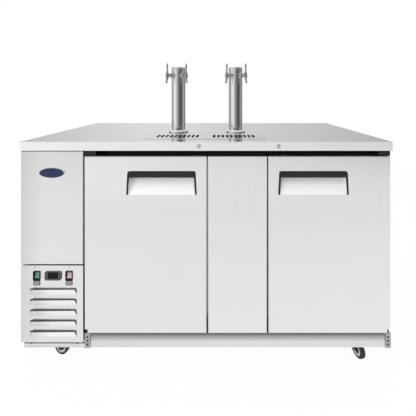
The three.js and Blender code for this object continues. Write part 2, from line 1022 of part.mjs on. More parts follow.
// The finger pocket in a door: deep under the bar, sloping out to nothing at the bottom
function fingerPocket(side) {
  const top = doorTopZ - handle.belowTop - handle.cover;
  const bottom = doorTopZ - handle.belowTop - handle.height;
  const centre = side * (doorWidth - handle.fromFreeEdge - door.pinInset);
  const halfTop = handle.topWidth / 2 - handle.cover;
  const halfBottom = handle.bottomWidth / 2 - handle.cover;
  const outline = polygon([
    [centre - halfBottom, bottom],
    [centre + halfBottom, bottom],
    [centre + halfTop, top],
    [centre - halfTop, top],
  ]);
  const mouth = -door.pinInset;
  const deepest = mouth + handle.pocketDepth;
  const slopeTop = bottom + (top - bottom) * handle.slopeShare;
  const section = new THREE.Shape();
  section.moveTo(mouth - overrun, bottom);
  section.lineTo(mouth, bottom);
  section.quadraticCurveTo(
    mouth + handle.pocketDepth * handle.bendShare,
    bottom + (slopeTop - bottom) * handle.bendShare,
    deepest,
    slopeTop,
  );
  section.lineTo(deepest, top);
  section.lineTo(mouth - overrun, top);
  const reach = handle.bottomWidth / 2;
  const depthCut = sheetSideways(section, centre - reach, centre + reach);
  const outlineCut = sheetFacing(outline, mouth - overrun - overrun, deepest + overrun);
  return depthCut.intersect(outlineCut);
}

// Door shell: the insulated slab, with its pocket, pin bores, corner notch and lock slot
function doorShell(side, lockFromFreeEdge) {
  const xs = span(side, -door.pinInset, doorWidth - door.pinInset);
  const ys = [-door.pinInset, door.depth - door.pinInset];
  const slabBody = box(xs, ys, [door.bottom, doorTopZ]);
  const boreRadius = hinge.pinRadius + running;
  const lowerBore = rod(
    boreRadius,
    door.bottom - overrun,
    lugTopZ + hinge.pinLength + hinge.boreSpare,
    'z',
    [0, 0, 0],
    fewSides,
  );
  const upperBore = rod(
    boreRadius,
    doorTopZ - hinge.pinLength - hinge.boreSpare,
    doorTopZ + overrun,
    'z',
    [0, 0, 0],
    fewSides,
  );
  const notchReach = hinge.collarRadius + hinge.notchGap;
  const notch = box(
    span(side, -door.pinInset - overrun, notchReach),
    [-door.pinInset - overrun, notchReach],
    [door.bottom - overrun, door.bottom + hinge.collarHeight + hinge.notchGap],
  );
  const lockCentre = doorWidth - door.pinInset - lockFromFreeEdge;
  const camMiddle = frontY + lock.barrelLength - lock.camThickness / 2 - pinY;
  const lockSlot = box(
    span(side, lockCentre - lock.slotSweep, lockCentre + lock.camWidth / 2 + lock.slotGap),
    around(camMiddle, lock.camThickness + lock.slotGap + lock.slotGap),
    [doorTopZ - lock.bite - lock.slotSpare, doorTopZ + overrun],
  );
  return cutBy(slabBody, fingerPocket(side), lowerBore, upperBore, notch, lockSlot);
}

// Door liner: the raised inner panel inside the gasket
function doorLiner(side) {
  const inset = gasket.inset + gasket.width + liner.margin;
  const startY = door.depth - door.pinInset + touch;
  return box(
    span(side, inset - door.pinInset, doorWidth - inset - door.pinInset),
    [startY, startY + liner.depth],
    [door.bottom + inset, doorTopZ - inset],
  );
}

// Door gasket: a ring round the back of the door
function doorGasket(side) {
  const startY = door.depth - door.pinInset + touch;
  const inner = gasket.inset + gasket.width;
  const ring = box(
    span(side, gasket.inset - door.pinInset, doorWidth - gasket.inset - door.pinInset),
    [startY, startY + gasket.depth],
    [door.bottom + gasket.inset, doorTopZ - gasket.inset],
  );
  const opening = box(
    span(side, inner - door.pinInset, doorWidth - inner - door.pinInset),
    [startY - overrun, startY + gasket.depth + overrun],
    [door.bottom + inner, doorTopZ - inner],
  );
  return cutBy(ring, opening);
}

// Door handle: a bar over the pocket and two legs that splay out a little, with a finger lip
function doorHandle(side) {
  const centre = side * (doorWidth - handle.fromFreeEdge - door.pinInset);
  const top = doorTopZ - handle.belowTop;
  const bottom = top - handle.height;
  const halfTop = handle.topWidth / 2;
  const halfBottom = handle.bottomWidth / 2;
  const underBar = top - handle.bar;
  const halfUnder = halfTop + ((halfBottom - halfTop) * handle.bar) / handle.height;
  const shape = new THREE.Shape();
  shape.moveTo(centre - halfBottom, bottom);
  shape.lineTo(centre - halfBottom + handle.leg, bottom);
  shape.lineTo(centre - halfUnder + handle.leg, underBar);
  shape.lineTo(centre + halfUnder - handle.leg, underBar);
  shape.lineTo(centre + halfBottom - handle.leg, bottom);
  shape.lineTo(centre + halfBottom, bottom);
  shape.lineTo(centre + halfTop, top - handle.corner);
  shape.absarc(centre + halfTop - handle.corner, top - handle.corner, handle.corner, 0, quarter);
  shape.absarc(centre - halfTop + handle.corner, top - handle.corner, handle.corner, quarter, Math.PI);
  const face = -door.pinInset - touch;
  const trim = sheetFacing(shape, face - handle.proud, face);
  const lipHalf = halfTop - handle.leg;
  const lip = box(
    [centre - lipHalf, centre + lipHalf],
    [face - touch, face + handle.lip],
    [underBar, underBar + handle.lipSheet],
  );
  return joined(trim, lip);
}

function lockX(side) {
  if (side < 0) return leftFreeEdgeX - lock.leftFromFreeEdge;
  return rightFreeEdgeX + lock.rightFromFreeEdge;
}

// Lock: head with a key slot, barrel through the fascia, and a cam that swings down into the door
function keyLock(side) {
  const head = rod(lock.headRadius, -lock.proud, -touch, 'y');
  const barrel = rod(lock.barrelRadius, -lock.proud / 2, lock.barrelLength, 'y');
  const cam = box(
    span(side, 0, camLength),
    [lock.barrelLength - lock.camThickness, lock.barrelLength],
    around(0, lock.camWidth),
  );
  const keyway = box(
    around(0, lock.keyWidth),
    [-lock.proud - overrun, lock.keyDepth - lock.proud],
    around(0, lock.keyLength),
  );
  return cutBy(joined(head, barrel, cam), keyway);
}

// Switch housing: a flange on the panel and a body behind it, with the rocker's window
function switchHousing() {
  const shape = roundedRectangle(0, 0, rockerSwitch.width, rockerSwitch.height, rockerSwitch.corner);
  const flange = sheetFacing(shape, -touch - rockerSwitch.proud, -touch);
  const body = box(
    around(0, rockerSwitch.bodyWidth),
    [-touch - rockerSwitch.proud / 2, rockerSwitch.bodyDepth],
    around(0, rockerSwitch.bodyHeight),
  );
  const window = box(
    around(0, rockerSwitch.windowWidth),
    [-rockerSwitch.proud - overrun, rockerSwitch.windowDepth],
    around(0, rockerSwitch.windowHeight),
  );
  return cutBy(joined(flange, body), window);
}

// Rocker: a shallow V on its face, round its pivot
function rocker() {
  const reach = rockerSwitch.rockerReach;
  const section = polygon([
    [-rockerSwitch.rockerFace, -reach],
    [rockerSwitch.rockerFace / 2, -reach],
    [rockerSwitch.rockerBack, 0],
    [rockerSwitch.rockerFace / 2, reach],
    [-rockerSwitch.rockerFace, reach],
    [-rockerSwitch.rockerDip, 0],
  ]);
  return sheetSideways(section, -rockerSwitch.rockerWidth / 2, rockerSwitch.rockerWidth / 2);
}

// Thermostat: a bezel with a sunk display and two button wells, and a body behind the panel
function thermostatBody() {
  const shape = roundedRectangle(0, 0, thermostat.width, thermostat.height, thermostat.corner);
  const bezel = sheetFacing(shape, -touch - thermostat.proud, -touch);
  const body = box(
    around(0, thermostat.bodyWidth),
    [-touch - thermostat.proud / 2, thermostat.bodyDepth],
    around(0, thermostat.bodyHeight),
  );
  const faceY = -touch - thermostat.proud;
  const display = box(
    around(thermostat.displayRight, thermostat.displayWidth),
    [faceY - overrun, faceY + thermostat.displayDepth],
    around(thermostat.displayUp, thermostat.displayHeight),
  );
  let whole = cutBy(joined(bezel, body), display);
  for (const side of [-1, 1]) {
    const well = box(
      around(side * thermostat.buttonOut, thermostat.buttonWidth),
      [faceY - overrun, faceY + thermostat.buttonDepth + touch],
      around(thermostat.displayUp, thermostat.buttonHeight),
    );
    whole = cutBy(whole, well);
  }
  return whole;
}

function thermostatButton(side) {
  const faceY = -touch - thermostat.proud;
  const back = faceY + thermostat.buttonDepth - thermostat.buttonTravel;
  return box(
    around(side * thermostat.buttonOut, thermostat.buttonWidth - running),
    [faceY - thermostat.buttonProud, back],
    around(thermostat.displayUp, thermostat.buttonHeight - running),
  );
}

// Tower column: a tube with its base flange, and two holes for the faucet shanks
function towerColumn() {
  const bore = tower.radius - tower.wall;
  const top = tower.height - tower.capHeight;
  const tube = turned([
    [bore, 0],
    [tower.flangeRadius, 0],
    [tower.flangeRadius, tower.flangeHeight - tower.flangeEdge],
    [tower.flangeRadius - tower.flangeEdge, tower.flangeHeight],
    [tower.radius, tower.flangeHeight],
    [tower.radius, top],
    [bore, top],
    [bore, 0],
  ], manySides);
  let column = tube;
  for (const side of [-1, 1]) {
    const hole = new THREE.CylinderGeometry(
      faucet.shankRadius + running,
      faucet.shankRadius + running,
      tower.radius,
      fewSides,
    );
    hole.translate(0, -tower.radius, 0);
    hole.rotateZ(THREE.MathUtils.degToRad(side * faucet.yaw));
    hole.translate(0, 0, faucet.shankHeight);
    column = cutBy(column, solidFrom(hole));
  }
  return column;
}

// Tower cap: a plug in the tube and a rounded crown
function towerCap() {
  const seat = tower.height - tower.capHeight;
  const plugRadius = tower.radius - tower.wall - touch;
  return turned([
    [0, seat - tower.capPlug],
    [plugRadius, seat - tower.capPlug],
    [plugRadius, seat + touch],
    [tower.radius, seat + touch],
    [tower.radius, seat + tower.capShoulder],
    [tower.radius * tower.shoulderShare, tower.height - tower.capShoulder / 3],
    [tower.radius * tower.crownShare, tower.height - touch],
    [0, tower.height],
  ], manySides);
}

// Faucet body, reaching out along -Y from the column's axis: shank, nut, collar, coupling,
// barrel, the valve with its two cheeks, and the spout
function faucetBody() {
  const inside = tower.radius - tower.wall;
  const seat = tower.radius + touch;
  const shank = rod(faucet.shankRadius, -seat - overrun, faucet.shankInside - inside, 'y', [0, 0, 0], fewSides);
  const nutEnd = Math.sqrt(inside * inside - faucet.nutRadius * faucet.nutRadius) - touch;
  const nut = rod(faucet.nutRadius, -nutEnd, faucet.nutLength - nutEnd, 'y', [0, 0, 0], fewSides / 2);
  const collarEnd = seat + faucet.collarLength;
  const collar = rod(faucet.collarRadius, -collarEnd, -seat, 'y', [0, 0, 0], fewSides);
  const couplingEnd = collarEnd + faucet.couplingLength;
  const coupling = rod(faucet.couplingRadius, -couplingEnd, -collarEnd + touch, 'y', [0, 0, 0], fewSides);
  const barrel = rod(faucet.barrelRadius, -faucet.reach, -couplingEnd + touch, 'y', [0, 0, 0], fewSides);
  const valveTop = faucet.pivotUp + faucet.cheekAbovePivot;
  const valveAt = [0, -faucet.reach, 0];
  const valve = rod(faucet.valveRadius, -faucet.valveBelow, valveTop, 'z', valveAt, fewSides);
  const spoutPath = new THREE.CatmullRomCurve3([
    new THREE.Vector3(0, -faucet.reach, -faucet.valveBelow + faucet.spoutRadius),
    new THREE.Vector3(0, -faucet.reach, -faucet.valveBelow - faucet.spoutRadius),
    new THREE.Vector3(0, -faucet.reach - faucet.spoutOut, -faucet.spoutDrop),
  ]);
  const section = new THREE.Shape();
  section.absarc(0, 0, faucet.spoutRadius, 0, 2 * Math.PI);
  const settings = { steps: 4, extrudePath: spoutPath, bevelEnabled: false, curveSegments: 5 };
  const spout = solidFrom(new THREE.ExtrudeGeometry(section, settings));
  const slot = box(
    around(0, faucet.slotWidth),
    [-faucet.reach - faucet.valveRadius - overrun, -faucet.reach + faucet.valveRadius + overrun],
    [faucet.pivotUp - faucet.slotBelowPivot, valveTop + overrun],
  );
  const bore = rod(
    faucet.spoutBore,
    -faucet.spoutDrop - overrun,
    faucet.spoutBoreDepth - faucet.spoutDrop,
    'z',
    [0, -faucet.reach - faucet.spoutOut, 0],
    fewSides,
  );
  return cutBy(joined(shank, nut, collar, coupling, barrel, valve, spout), slot, bore);
}

// Faucet lever, round its pivot: a tang between the cheeks, a ferrule, a ball and a tapered grip
function faucetLever() {
  const tangHalf = faucet.slotWidth / 2 - lever.tangGap;
  const eye = rod(lever.tangRadius, -tangHalf, tangHalf, 'x', [0, 0, 0], fewSides);
  const stem = rod(lever.stemRadius, 0, lever.ferruleBottom + touch, 'z', [0, 0, 0], fewSides);
  const ferruleTop = lever.ferruleBottom + lever.ferruleHeight;
  const handleShape = turned([
    [0, lever.ferruleBottom],
    [lever.ferruleRadius, lever.ferruleBottom],
    [lever.ferruleRadius, ferruleTop],
    [lever.neckRadius, ferruleTop],
    [lever.neckRadius, lever.ballUp - lever.neckRadius],
    [lever.ballRadius, lever.ballUp],
    [lever.neckRadius, lever.ballUp + lever.neckRadius],
    [lever.neckRadius, lever.gripBottom],
    [lever.gripRadius, lever.gripBottom],
    [lever.tipRadius, lever.length - lever.tipRadius],
    [0, lever.length],
  ], fewSides);
  return joined(eye, stem, handleShape);
}

// Caster fork, round its swivel axis, with the wheel trailing along +X
function casterFork() {
  const top = caster.overall - caster.plateThickness - touch;
  const crownBottom = top - caster.crownHeight;
  const crown = rod(caster.crownRadius, crownBottom, top);
  const pinBore = rod(
    caster.kingpinRadius + running,
    top - caster.kingpinLength - running - touch,
    top + overrun,
    'z',
    [0, 0, 0],
    fewSides,
  );
  const legInner = caster.wheelWidth / 2 + caster.legGap;
  const legOuter = legInner + caster.legThickness;
  const legTopHalf = caster.crownRadius / 2;
  const shape = new THREE.Shape();
  shape.moveTo(-legTopHalf, crownBottom + touch);
  shape.lineTo(caster.trail - caster.legFoot, caster.wheelRadius);
  shape.absarc(caster.trail, caster.wheelRadius, caster.legFoot, Math.PI, 2 * Math.PI);
  shape.lineTo(caster.trail, crownBottom + touch);
  const turn = new THREE.Matrix4().makeRotationX(quarter);
  let fork = crown;
  for (const side of [-1, 1]) {
    const start = side > 0 ? legInner : -legOuter;
    const settings = { depth: caster.legThickness, bevelEnabled: false, curveSegments: 6 };
    const leg = new THREE.ExtrudeGeometry(shape, settings);
    leg.applyMatrix4(turn);
    leg.translate(0, start + caster.legThickness, 0);
    const bridge = box(
      [-legTopHalf, caster.trail],
      [start, start + caster.legThickness],
      [crownBottom, crownBottom + caster.legThickness],
    );
    fork = joined(fork, solidFrom(leg), bridge);
  }
  const arm = box(
    [0, caster.trail],
    [-legOuter, legOuter],
    [crownBottom, crownBottom + caster.legThickness],
  );
  const axleAt = [caster.trail, 0, caster.wheelRadius];
  const axle = rod(caster.axleRadius, -legOuter, legOuter, 'y', axleAt, fewSides);
  const headEnd = legOuter + caster.axleHeadDepth;
  const head = rod(caster.axleHead, legOuter - touch, headEnd, 'y', axleAt, fewSides / 2);
  const nut = rod(caster.axleHead, -headEnd, touch - legOuter, 'y', axleAt, fewSides / 2);
  return cutBy(joined(fork, arm, axle, head, nut), pinBore);
}

// Caster wheel, with a flat of its tread on the floor
function casterWheel() {
  const half = caster.wheelWidth / 2;
  const corner = caster.wheelRadius / Math.cos(Math.PI / someSides);
  const rim = corner - caster.tread;
  const hubHalf = half + caster.hubProud;
  const bore = caster.axleRadius + running;
  const webHalf = half - caster.rimDish;
  const profile = [
    [bore, -hubHalf],
    [caster.hubRadius, -hubHalf],
    [caster.hubRadius, -webHalf],
    [rim, -half],
    [corner - caster.treadBevel, -half],
    [corner, caster.treadBevel - half],
    [corner, half - caster.treadBevel],
    [corner - caster.treadBevel, half],
    [rim, half],
    [caster.hubRadius, webHalf],
    [caster.hubRadius, hubHalf],
    [bore, hubHalf],
    [bore, -hubHalf],
  ];
  const points = profile.map(([radius, along]) => new THREE.Vector2(radius, along));
  const geometry = new THREE.LatheGeometry(points, someSides);
  geometry.rotateY(Math.PI / someSides);
  geometry.translate(caster.trail, 0, caster.wheelRadius);
  return solidFrom(geometry);
}

// Condenser: a finned block between two end plates, standing on the base
function condenserCoil() {
  const xs = around(bayCentreX, condenser.width);
  const startY = baseFrontY + condenser.fromFront;
  const ys = [startY, startY + condenser.depth];
  const bottom = baseTopZ + touch;
  const top = bottom + condenser.height;
  const block = box(
    [xs[0] + touch, xs[1] - touch],
    [ys[0] + condenser.endPlate, ys[1] - condenser.endPlate],
    [bottom + condenser.foot, top - condenser.endPlate],
  );
  const leftEnd = box([xs[0], xs[0] + condenser.endPlate], ys, [bottom, top]);
  const rightEnd = box([xs[1] - condenser.endPlate, xs[1]], ys, [bottom, top]);
  let coil = joined(block, leftEnd, rightEnd);
  const count = Math.floor((condenser.width - condenser.finPitch) / condenser.finPitch);
  for (let groove = 0; groove < count; groove += 1) {
    const x = bayCentreX + (groove - (count - 1) / 2) * condenser.finPitch;
    const cutter = box(
      around(x, condenser.groove),
      [ys[0] - overrun, ys[0] + condenser.endPlate + condenser.grooveDepth],
      [bottom, top + overrun],
    );
    coil = cutBy(coil, cutter);
  }
  return coil;
}

const fanZ = baseTopZ + fan.centreUp;
const shroudY = baseFrontY + condenser.fromFront + condenser.depth + fan.shroudGap;

// Fan motor on its shroud: a holed sheet, three arms, the motor and its shaft
function fanMotor() {
  const bottom = baseTopZ + touch;
  const sheet = box(
    around(bayCentreX, condenser.width),
    [shroudY, shroudY + fan.shroudSheet],
    [bottom, bottom + condenser.height],
  );
  const at = [bayCentreX, 0, fanZ];
  const hole = rod(fan.holeRadius, shroudY - overrun, shroudY + fan.shroudSheet + overrun, 'y', at);
  const armY = shroudY + fan.hubFromShroud + fan.hubLength + fan.hubFromShroud;
  const motor = rod(fan.motorRadius, armY, armY + fan.motorLength, 'y', at);
  const shaft = rod(fan.shaftRadius, shroudY + fan.hubFromShroud, armY + touch, 'y', at, fewSides);
  let whole = joined(cutBy(sheet, hole), motor, shaft);
  for (let arm = 0; arm < fan.armCount; arm += 1) {
    const angle = (arm * 2 * Math.PI) / fan.armCount + quarter;
    const reach = fan.holeRadius + fan.armWidth / 2;
    const bar = new THREE.BoxGeometry(reach - fan.motorRadius / 2, fan.armDepth, fan.armWidth);
    bar.translate((reach + fan.motorRadius / 2) / 2, armY + fan.armDepth / 2, 0);
    bar.rotateY(-angle);
    bar.translate(bayCentreX, 0, fanZ);
    const post = new THREE.BoxGeometry(fan.armDepth, armY - shroudY + fan.armDepth, fan.armWidth);
    post.translate(reach, (armY + shroudY + fan.armDepth) / 2, 0);
    post.rotateY(-angle);
    post.translate(bayCentreX, 0, fanZ);
    whole = joined(whole, solidFrom(bar), solidFrom(post));
  }
  return whole;
}

// A fan wheel round its own axis, along Z: a hub with pitched blades
function fanWheel(sizes) {
  let wheel = rod(sizes.hubRadius, 0, sizes.hubLength);
  for (let blade = 0; blade < fan.bladeCount; blade += 1) {
    const length = sizes.bladeRadius - sizes.hubRadius / 2;
    const plate = new THREE.BoxGeometry(length, sizes.bladeWidth, fan.bladeThickness);
    plate.rotateX(THREE.MathUtils.degToRad(fan.bladePitch));
    plate.translate(sizes.hubRadius / 2 + length / 2, 0, sizes.hubLength / 2);
    plate.rotateZ((blade * 2 * Math.PI) / fan.bladeCount);
    wheel = joined(wheel, solidFrom(plate));
  }
  const bore = rod(fan.shaftRadius + running, -overrun, sizes.hubLength + overrun, 'z', [0, 0, 0], fewSides);
  return cutBy(wheel, bore);
}

// Compressor: a domed can on a plate with four grommets, a terminal box and a pipe stub
function compressorCan() {
  const bottom = baseTopZ + touch;
  const plateZ = bottom + compressor.grommetHeight;
  const plateTop = plateZ + compressor.plateThickness;
  const shoulder = compressor.radius / 2;
  const can = turned([
    [0, plateTop - touch],
    [compressor.radius - shoulder / 2, plateTop - touch],
    [compressor.radius, plateTop + shoulder],
    [compressor.radius, plateTop + compressor.height - shoulder],
    [compressor.radius - shoulder / 2, plateTop + compressor.height - shoulder / 3],
    [0, plateTop + compressor.height],
  ]);
  const plate = box(
    around(0, compressor.plateWidth),
    around(0, compressor.plateDepth),
    [plateZ, plateTop],
  );
  let whole = joined(can, plate);
  for (const sideX of [-1, 1]) {
    for (const sideY of [-1, 1]) {
      const x = sideX * (compressor.plateWidth / 2 - compressor.grommetRadius);
      const y = sideY * (compressor.plateDepth / 2 - compressor.grommetRadius);
      const grommet = rod(compressor.grommetRadius, bottom, plateZ + touch, 'z', [x, y, 0], fewSides);
      whole = joined(whole, grommet);
    }
  }
  const boxMiddleZ = plateTop + compressor.height / 2;
  const terminalBox = box(
    around(0, compressor.boxWidth),
    [compressor.radius - compressor.boxDepth / 2, compressor.radius + compressor.boxDepth / 2],
    around(boxMiddleZ, compressor.boxHeight),
  );
  const stub = rod(
    compressor.stubRadius,
    plateTop + compressor.height - shoulder,
    plateTop + compressor.height + compressor.stubLength,
    'z',
    [compressor.radius / 2, 0, 0],
    fewSides,
  );
  return joined(whole, terminalBox, stub);
}

const evaporatorFrontY = frameY + evaporator.fromFrame;
const evaporatorBackY = cavityBackY - evaporator.fromBack;
const evaporatorY = (evaporatorFrontY + evaporatorBackY) / 2;
const evaporatorTopZ = ceilingZ - evaporator.belowCeiling;
const evaporatorZ = evaporatorTopZ - evaporator.height / 2;
const evaporatorFaceX = cavityLeftX + touch + evaporator.depth;

// Evaporator housing on the left wall of the compartment, with its fan hole and motor bridge
function evaporatorHousing() {
  const startX = cavityLeftX + touch;
  const ys = [evaporatorFrontY, evaporatorBackY];
  const zs = [evaporatorTopZ - evaporator.height, evaporatorTopZ];
  const outer = box([startX, evaporatorFaceX], ys, zs);
  const inner = box(
    [startX - overrun, evaporatorFaceX - evaporator.sheet],
    [ys[0] + evaporator.sheet, ys[1] - evaporator.sheet],
    [zs[0] + evaporator.sheet, zs[1] - evaporator.sheet],
  );
  const at = [0, evaporatorY, evaporatorZ];
  const hole = rod(evaporator.fanHole, evaporatorFaceX - overrun, evaporatorFaceX + overrun, 'x', at);
  const bridge = box(
    [startX, startX + evaporator.bridgeSheet],
    [ys[0] + touch, ys[1] - touch],
    around(evaporatorZ, evaporator.bridgeHeight),
  );
  const motorEnd = startX + evaporator.motorLength;
  const motor = rod(evaporator.motorRadius, startX, motorEnd, 'x', at);
  const shaft = rod(fan.shaftRadius, startX, evaporatorFaceX - evaporator.sheet, 'x', at, fewSides);
  return joined(cutBy(outer, inner, hole), bridge, motor, shaft);
}

// The whole cooler
const cooler = new THREE.Group();

const carcase = groupAt(cooler, 0, 0, 0);
addNode(carcase, 'base_frame', baseFrame(), galvanised);
addNode(carcase, 'kick_rail', kickRail(), stainless);
addNode(carcase, 'insulated_cabinet', insulatedCabinet(), liningSteel);
addNode(carcase, 'keg_floor_plate', kegFloorPlate(), liningSteel);
addNode(carcase, 'centre_post', centrePost(), stainless);
addNode(carcase, 'side_panel', sidePanel(), stainless);
addNode(carcase, 'rear_vent_panel', rearVentPanel(), galvanised);
addNode(carcase, 'upper_front_panel', upperFrontPanel(), stainless);
addNode(carcase, 'louvre_panel', louvrePanel(), stainless);
addNode(carcase, 'badge_plate', badgePlate(), navyEnamel);
addNode(carcase, 'countertop', countertop(), stainless);
addNode(carcase, 'drip_pan', dripPan(), stainless);
addNode(carcase, 'drip_grille', dripGrille(), stainless);

// Doors, their hinges and their locks
const doorSides = [
  { name: 'left', side: 1, edge: leftHingeEdgeX + door.pinInset, lockInset: lock.leftFromFreeEdge },
  { name: 'right', side: -1, edge: rightHingeEdgeX - door.pinInset, lockInset: lock.rightFromFreeEdge },
];
for (const { name, side, edge, lockInset } of doorSides) {
  const hinges = groupAt(cooler, edge, pinY, 0);
  addNode(hinges, `lower_hinge_${name}`, lowerHinge(side), galvanised);
  addNode(hinges, `upper_hinge_${name}`, upperHinge(side), darkSteel);
  const leaf = groupAt(cooler, edge, pinY, 0);
  addNode(leaf, `${name}_door_shell`, doorShell(side, lockInset), stainless);
  addNode(leaf, `${name}_door_liner`, doorLiner(side), liningSteel);
  addNode(leaf, `${name}_door_gasket`, doorGasket(side), gasketVinyl);
  addNode(leaf, `${name}_door_handle`, doorHandle(side), blackPlastic);
  const lockGroup = groupAt(cooler, lockX(-side), frontY, lockZ);
  addNode(lockGroup, `lock_${name}`, keyLock(-side), polished);
}

// Controls on the louvre panel
const tilt = THREE.MathUtils.degToRad(rockerSwitch.tilt);
const switches = [
  { name: 'light_switch', fromEdge: rockerSwitch.leftFromEdge, lens: greenLens, lean: -tilt },
  { name: 'power_switch', fromEdge: rockerSwitch.rightFromEdge, lens: roseLens, lean: -tilt },
];
for (const { name, fromEdge, lens, lean } of switches) {
  const place = groupAt(cooler, fromEdge - bodyHalf, doorFrontY, rockerSwitch.centreZ);
  addNode(place, `${name}_housing`, switchHousing(), blackPlastic);
  const pivot = groupAt(place, 0, rockerSwitch.pivotDepth, 0);
  pivot.rotation.x = lean;
  addNode(pivot, `${name}_rocker`, rocker(), lens);
}
const thermostatPlace = groupAt(cooler, thermostat.fromEdge - bodyHalf, doorFrontY, thermostat.centreZ);
addNode(thermostatPlace, 'thermostat', thermostatBody(), greyPlastic);
addNode(thermostatPlace, 'thermostat_button_left', thermostatButton(-1), greyPlastic);
addNode(thermostatPlace, 'thermostat_button_right', thermostatButton(1), greyPlastic);

// Towers, each with a faucet to the left and a faucet to the right of its front
for (const { name, side } of [{ name: 'left', side: -1 }, { name: 'right', side: 1 }]) {
  const x = tower.centreX + (side * tower.spacing) / 2;
  const stand = groupAt(cooler, x, towerY, counter.top + touch);
  addNode(stand, `tower_column_${name}`, towerColumn(), polished);
  addNode(stand, `tower_cap_${name}`, towerCap(), polished);
  for (const [hand, turn] of [['a', -1], ['b', 1]]) {
    const aim = groupAt(stand, 0, 0, faucet.shankHeight);
    aim.rotation.z = THREE.MathUtils.degToRad(turn * faucet.yaw);
    addNode(aim, `faucet_body_${name}_${hand}`, faucetBody(), polished);
    const pivot = groupAt(aim, 0, -faucet.reach, faucet.pivotUp);
    addNode(pivot, `faucet_lever_${name}_${hand}`, faucetLever(), polished);
  }
}

// Casters, as they stand in the photograph at the front
casterPlaces.forEach((place, index) => {
  const swivel = groupAt(cooler, place.x, place.y, 0);
  swivel.rotation.z = THREE.MathUtils.degToRad(caster.yaws[index]);
  addNode(swivel, `caster_fork_${place.name}`, casterFork(), blackEnamel);
  addNode(swivel, `caster_wheel_${place.name}`, casterWheel(), blackRubber);
});

// Cooling works: the compressor bay, and the evaporator in the keg compartment
addNode(carcase, 'condenser', condenserCoil(), copperFins);
addNode(carcase, 'condenser_fan_motor', fanMotor(), darkSteel);
const fanPlace = groupAt(cooler, bayCentreX, shroudY + fan.hubFromShroud + fan.hubLength, fanZ);
fanPlace.rotation.x = quarter;
addNode(fanPlace, 'condenser_fan', fanWheel(fan), blackPlastic);
const compressorPlace = groupAt(cooler, bayCentreX, compressor.centreY, 0);
addNode(compressorPlace, 'compressor', compressorCan(), blackEnamel);
addNode(carcase, 'evaporator_housing', evaporatorHousing(), liningSteel);
const evaporatorHubX = evaporatorFaceX - evaporator.sheet - evaporator.hubLength;
const coldFan = groupAt(cooler, evaporatorHubX, evaporatorY, evaporatorZ);
coldFan.rotation.y = quarter;
addNode(coldFan, 'evaporator_fan', fanWheel(evaporator), blackPlastic);

export default cooler;
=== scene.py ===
# %% [markdown]
# # A two-door kegerator with two draught towers
# The machine is a steel bar cooler for beer kegs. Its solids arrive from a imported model, and
# each of them sits on a body that can move: a door, a lever, a caster. This notebook keeps the
# solids where they are. It gives each one a finish, and where the real piece has softer edges
# or finer shapes than the solid, it builds a finer piece in the same place.

# %% Load the solids
import bpy
import bmesh
import json
import math
from mathutils import Matrix, Vector

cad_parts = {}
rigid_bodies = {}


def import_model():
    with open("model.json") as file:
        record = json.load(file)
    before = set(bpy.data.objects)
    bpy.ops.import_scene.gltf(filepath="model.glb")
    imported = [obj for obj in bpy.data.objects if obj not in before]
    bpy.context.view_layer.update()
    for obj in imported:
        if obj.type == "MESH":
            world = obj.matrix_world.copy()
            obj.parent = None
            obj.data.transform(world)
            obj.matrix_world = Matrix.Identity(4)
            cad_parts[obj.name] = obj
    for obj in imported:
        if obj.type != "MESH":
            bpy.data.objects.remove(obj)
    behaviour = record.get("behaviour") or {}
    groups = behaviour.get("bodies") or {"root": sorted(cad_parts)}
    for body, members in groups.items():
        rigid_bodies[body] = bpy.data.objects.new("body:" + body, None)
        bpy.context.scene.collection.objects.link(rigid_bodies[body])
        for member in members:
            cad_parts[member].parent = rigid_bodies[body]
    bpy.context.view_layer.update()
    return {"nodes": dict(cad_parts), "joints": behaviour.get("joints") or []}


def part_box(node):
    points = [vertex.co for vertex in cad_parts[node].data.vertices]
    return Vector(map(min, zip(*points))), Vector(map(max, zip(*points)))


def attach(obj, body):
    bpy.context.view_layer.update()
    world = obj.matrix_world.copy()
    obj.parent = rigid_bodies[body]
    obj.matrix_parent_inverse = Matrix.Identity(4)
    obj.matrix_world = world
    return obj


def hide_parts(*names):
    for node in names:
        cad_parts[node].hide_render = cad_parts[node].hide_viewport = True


for leftover in list(bpy.data.objects):
    bpy.data.objects.remove(leftover)
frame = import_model()

# %% [markdown]
# ## The photograph's viewpoint
# The photograph was taken close up with a wide lens. The camera stood level, a little right of
# the middle and above the counter, because the countertop shows as a thin trapezium and the
# doors keep their right angles. A level camera that looks at something lower needs lens shift,
# as in architectural photography: tilting it down would make the upright edges converge. The
# numbers come from fitting a camera to lines of the photograph whose real places are known.

# %% Camera
sensor_width, picture_pixels, focal_pixels = 36, 416, 240.7
eye = bpy.data.cameras.new("counter_height_lens")
eye.sensor_width = sensor_width
eye.lens = focal_pixels / picture_pixels * sensor_width
eye.shift_x, eye.shift_y = -0.0278, -0.2765
camera = bpy.data.objects.new("front_camera", eye)
bpy.context.scene.collection.objects.link(camera)
camera.location = (0.063, -1.4897, 1.3006)
camera.rotation_euler = (math.radians(90), 0, 0)
bpy.context.scene.camera = camera
print("lens", round(eye.lens, 2), "mm, seen from", [round(c, 3) for c in camera.location])

# %% [markdown]
# ## Light
# Polished metal looks like whatever stands around it. A photographer hangs white cloth and
# black cards round such a piece, so that it gets bright fields with dark edges. The same can
# be done with the world: its brightness follows the direction. It is white high up and low
# down. Between them it has upright bands, pale on the left and at the back, and dark in front
# and on the right. The towers mirror the bands, while the brushed doors mirror mostly the pale
# floor. What the camera sees directly is white.

# %% World
def ramp_between(nodes, stops, label):
    ramp = nodes.new("ShaderNodeValToRGB")
    ramp.label = label
    strip = ramp.color_ramp.elements
    while len(strip) < len(stops):
        strip.new(0.5)
    for element, (place, level) in zip(strip, stops):
        element.position = place
        element.color = (level, level, level, 1)
    return ramp


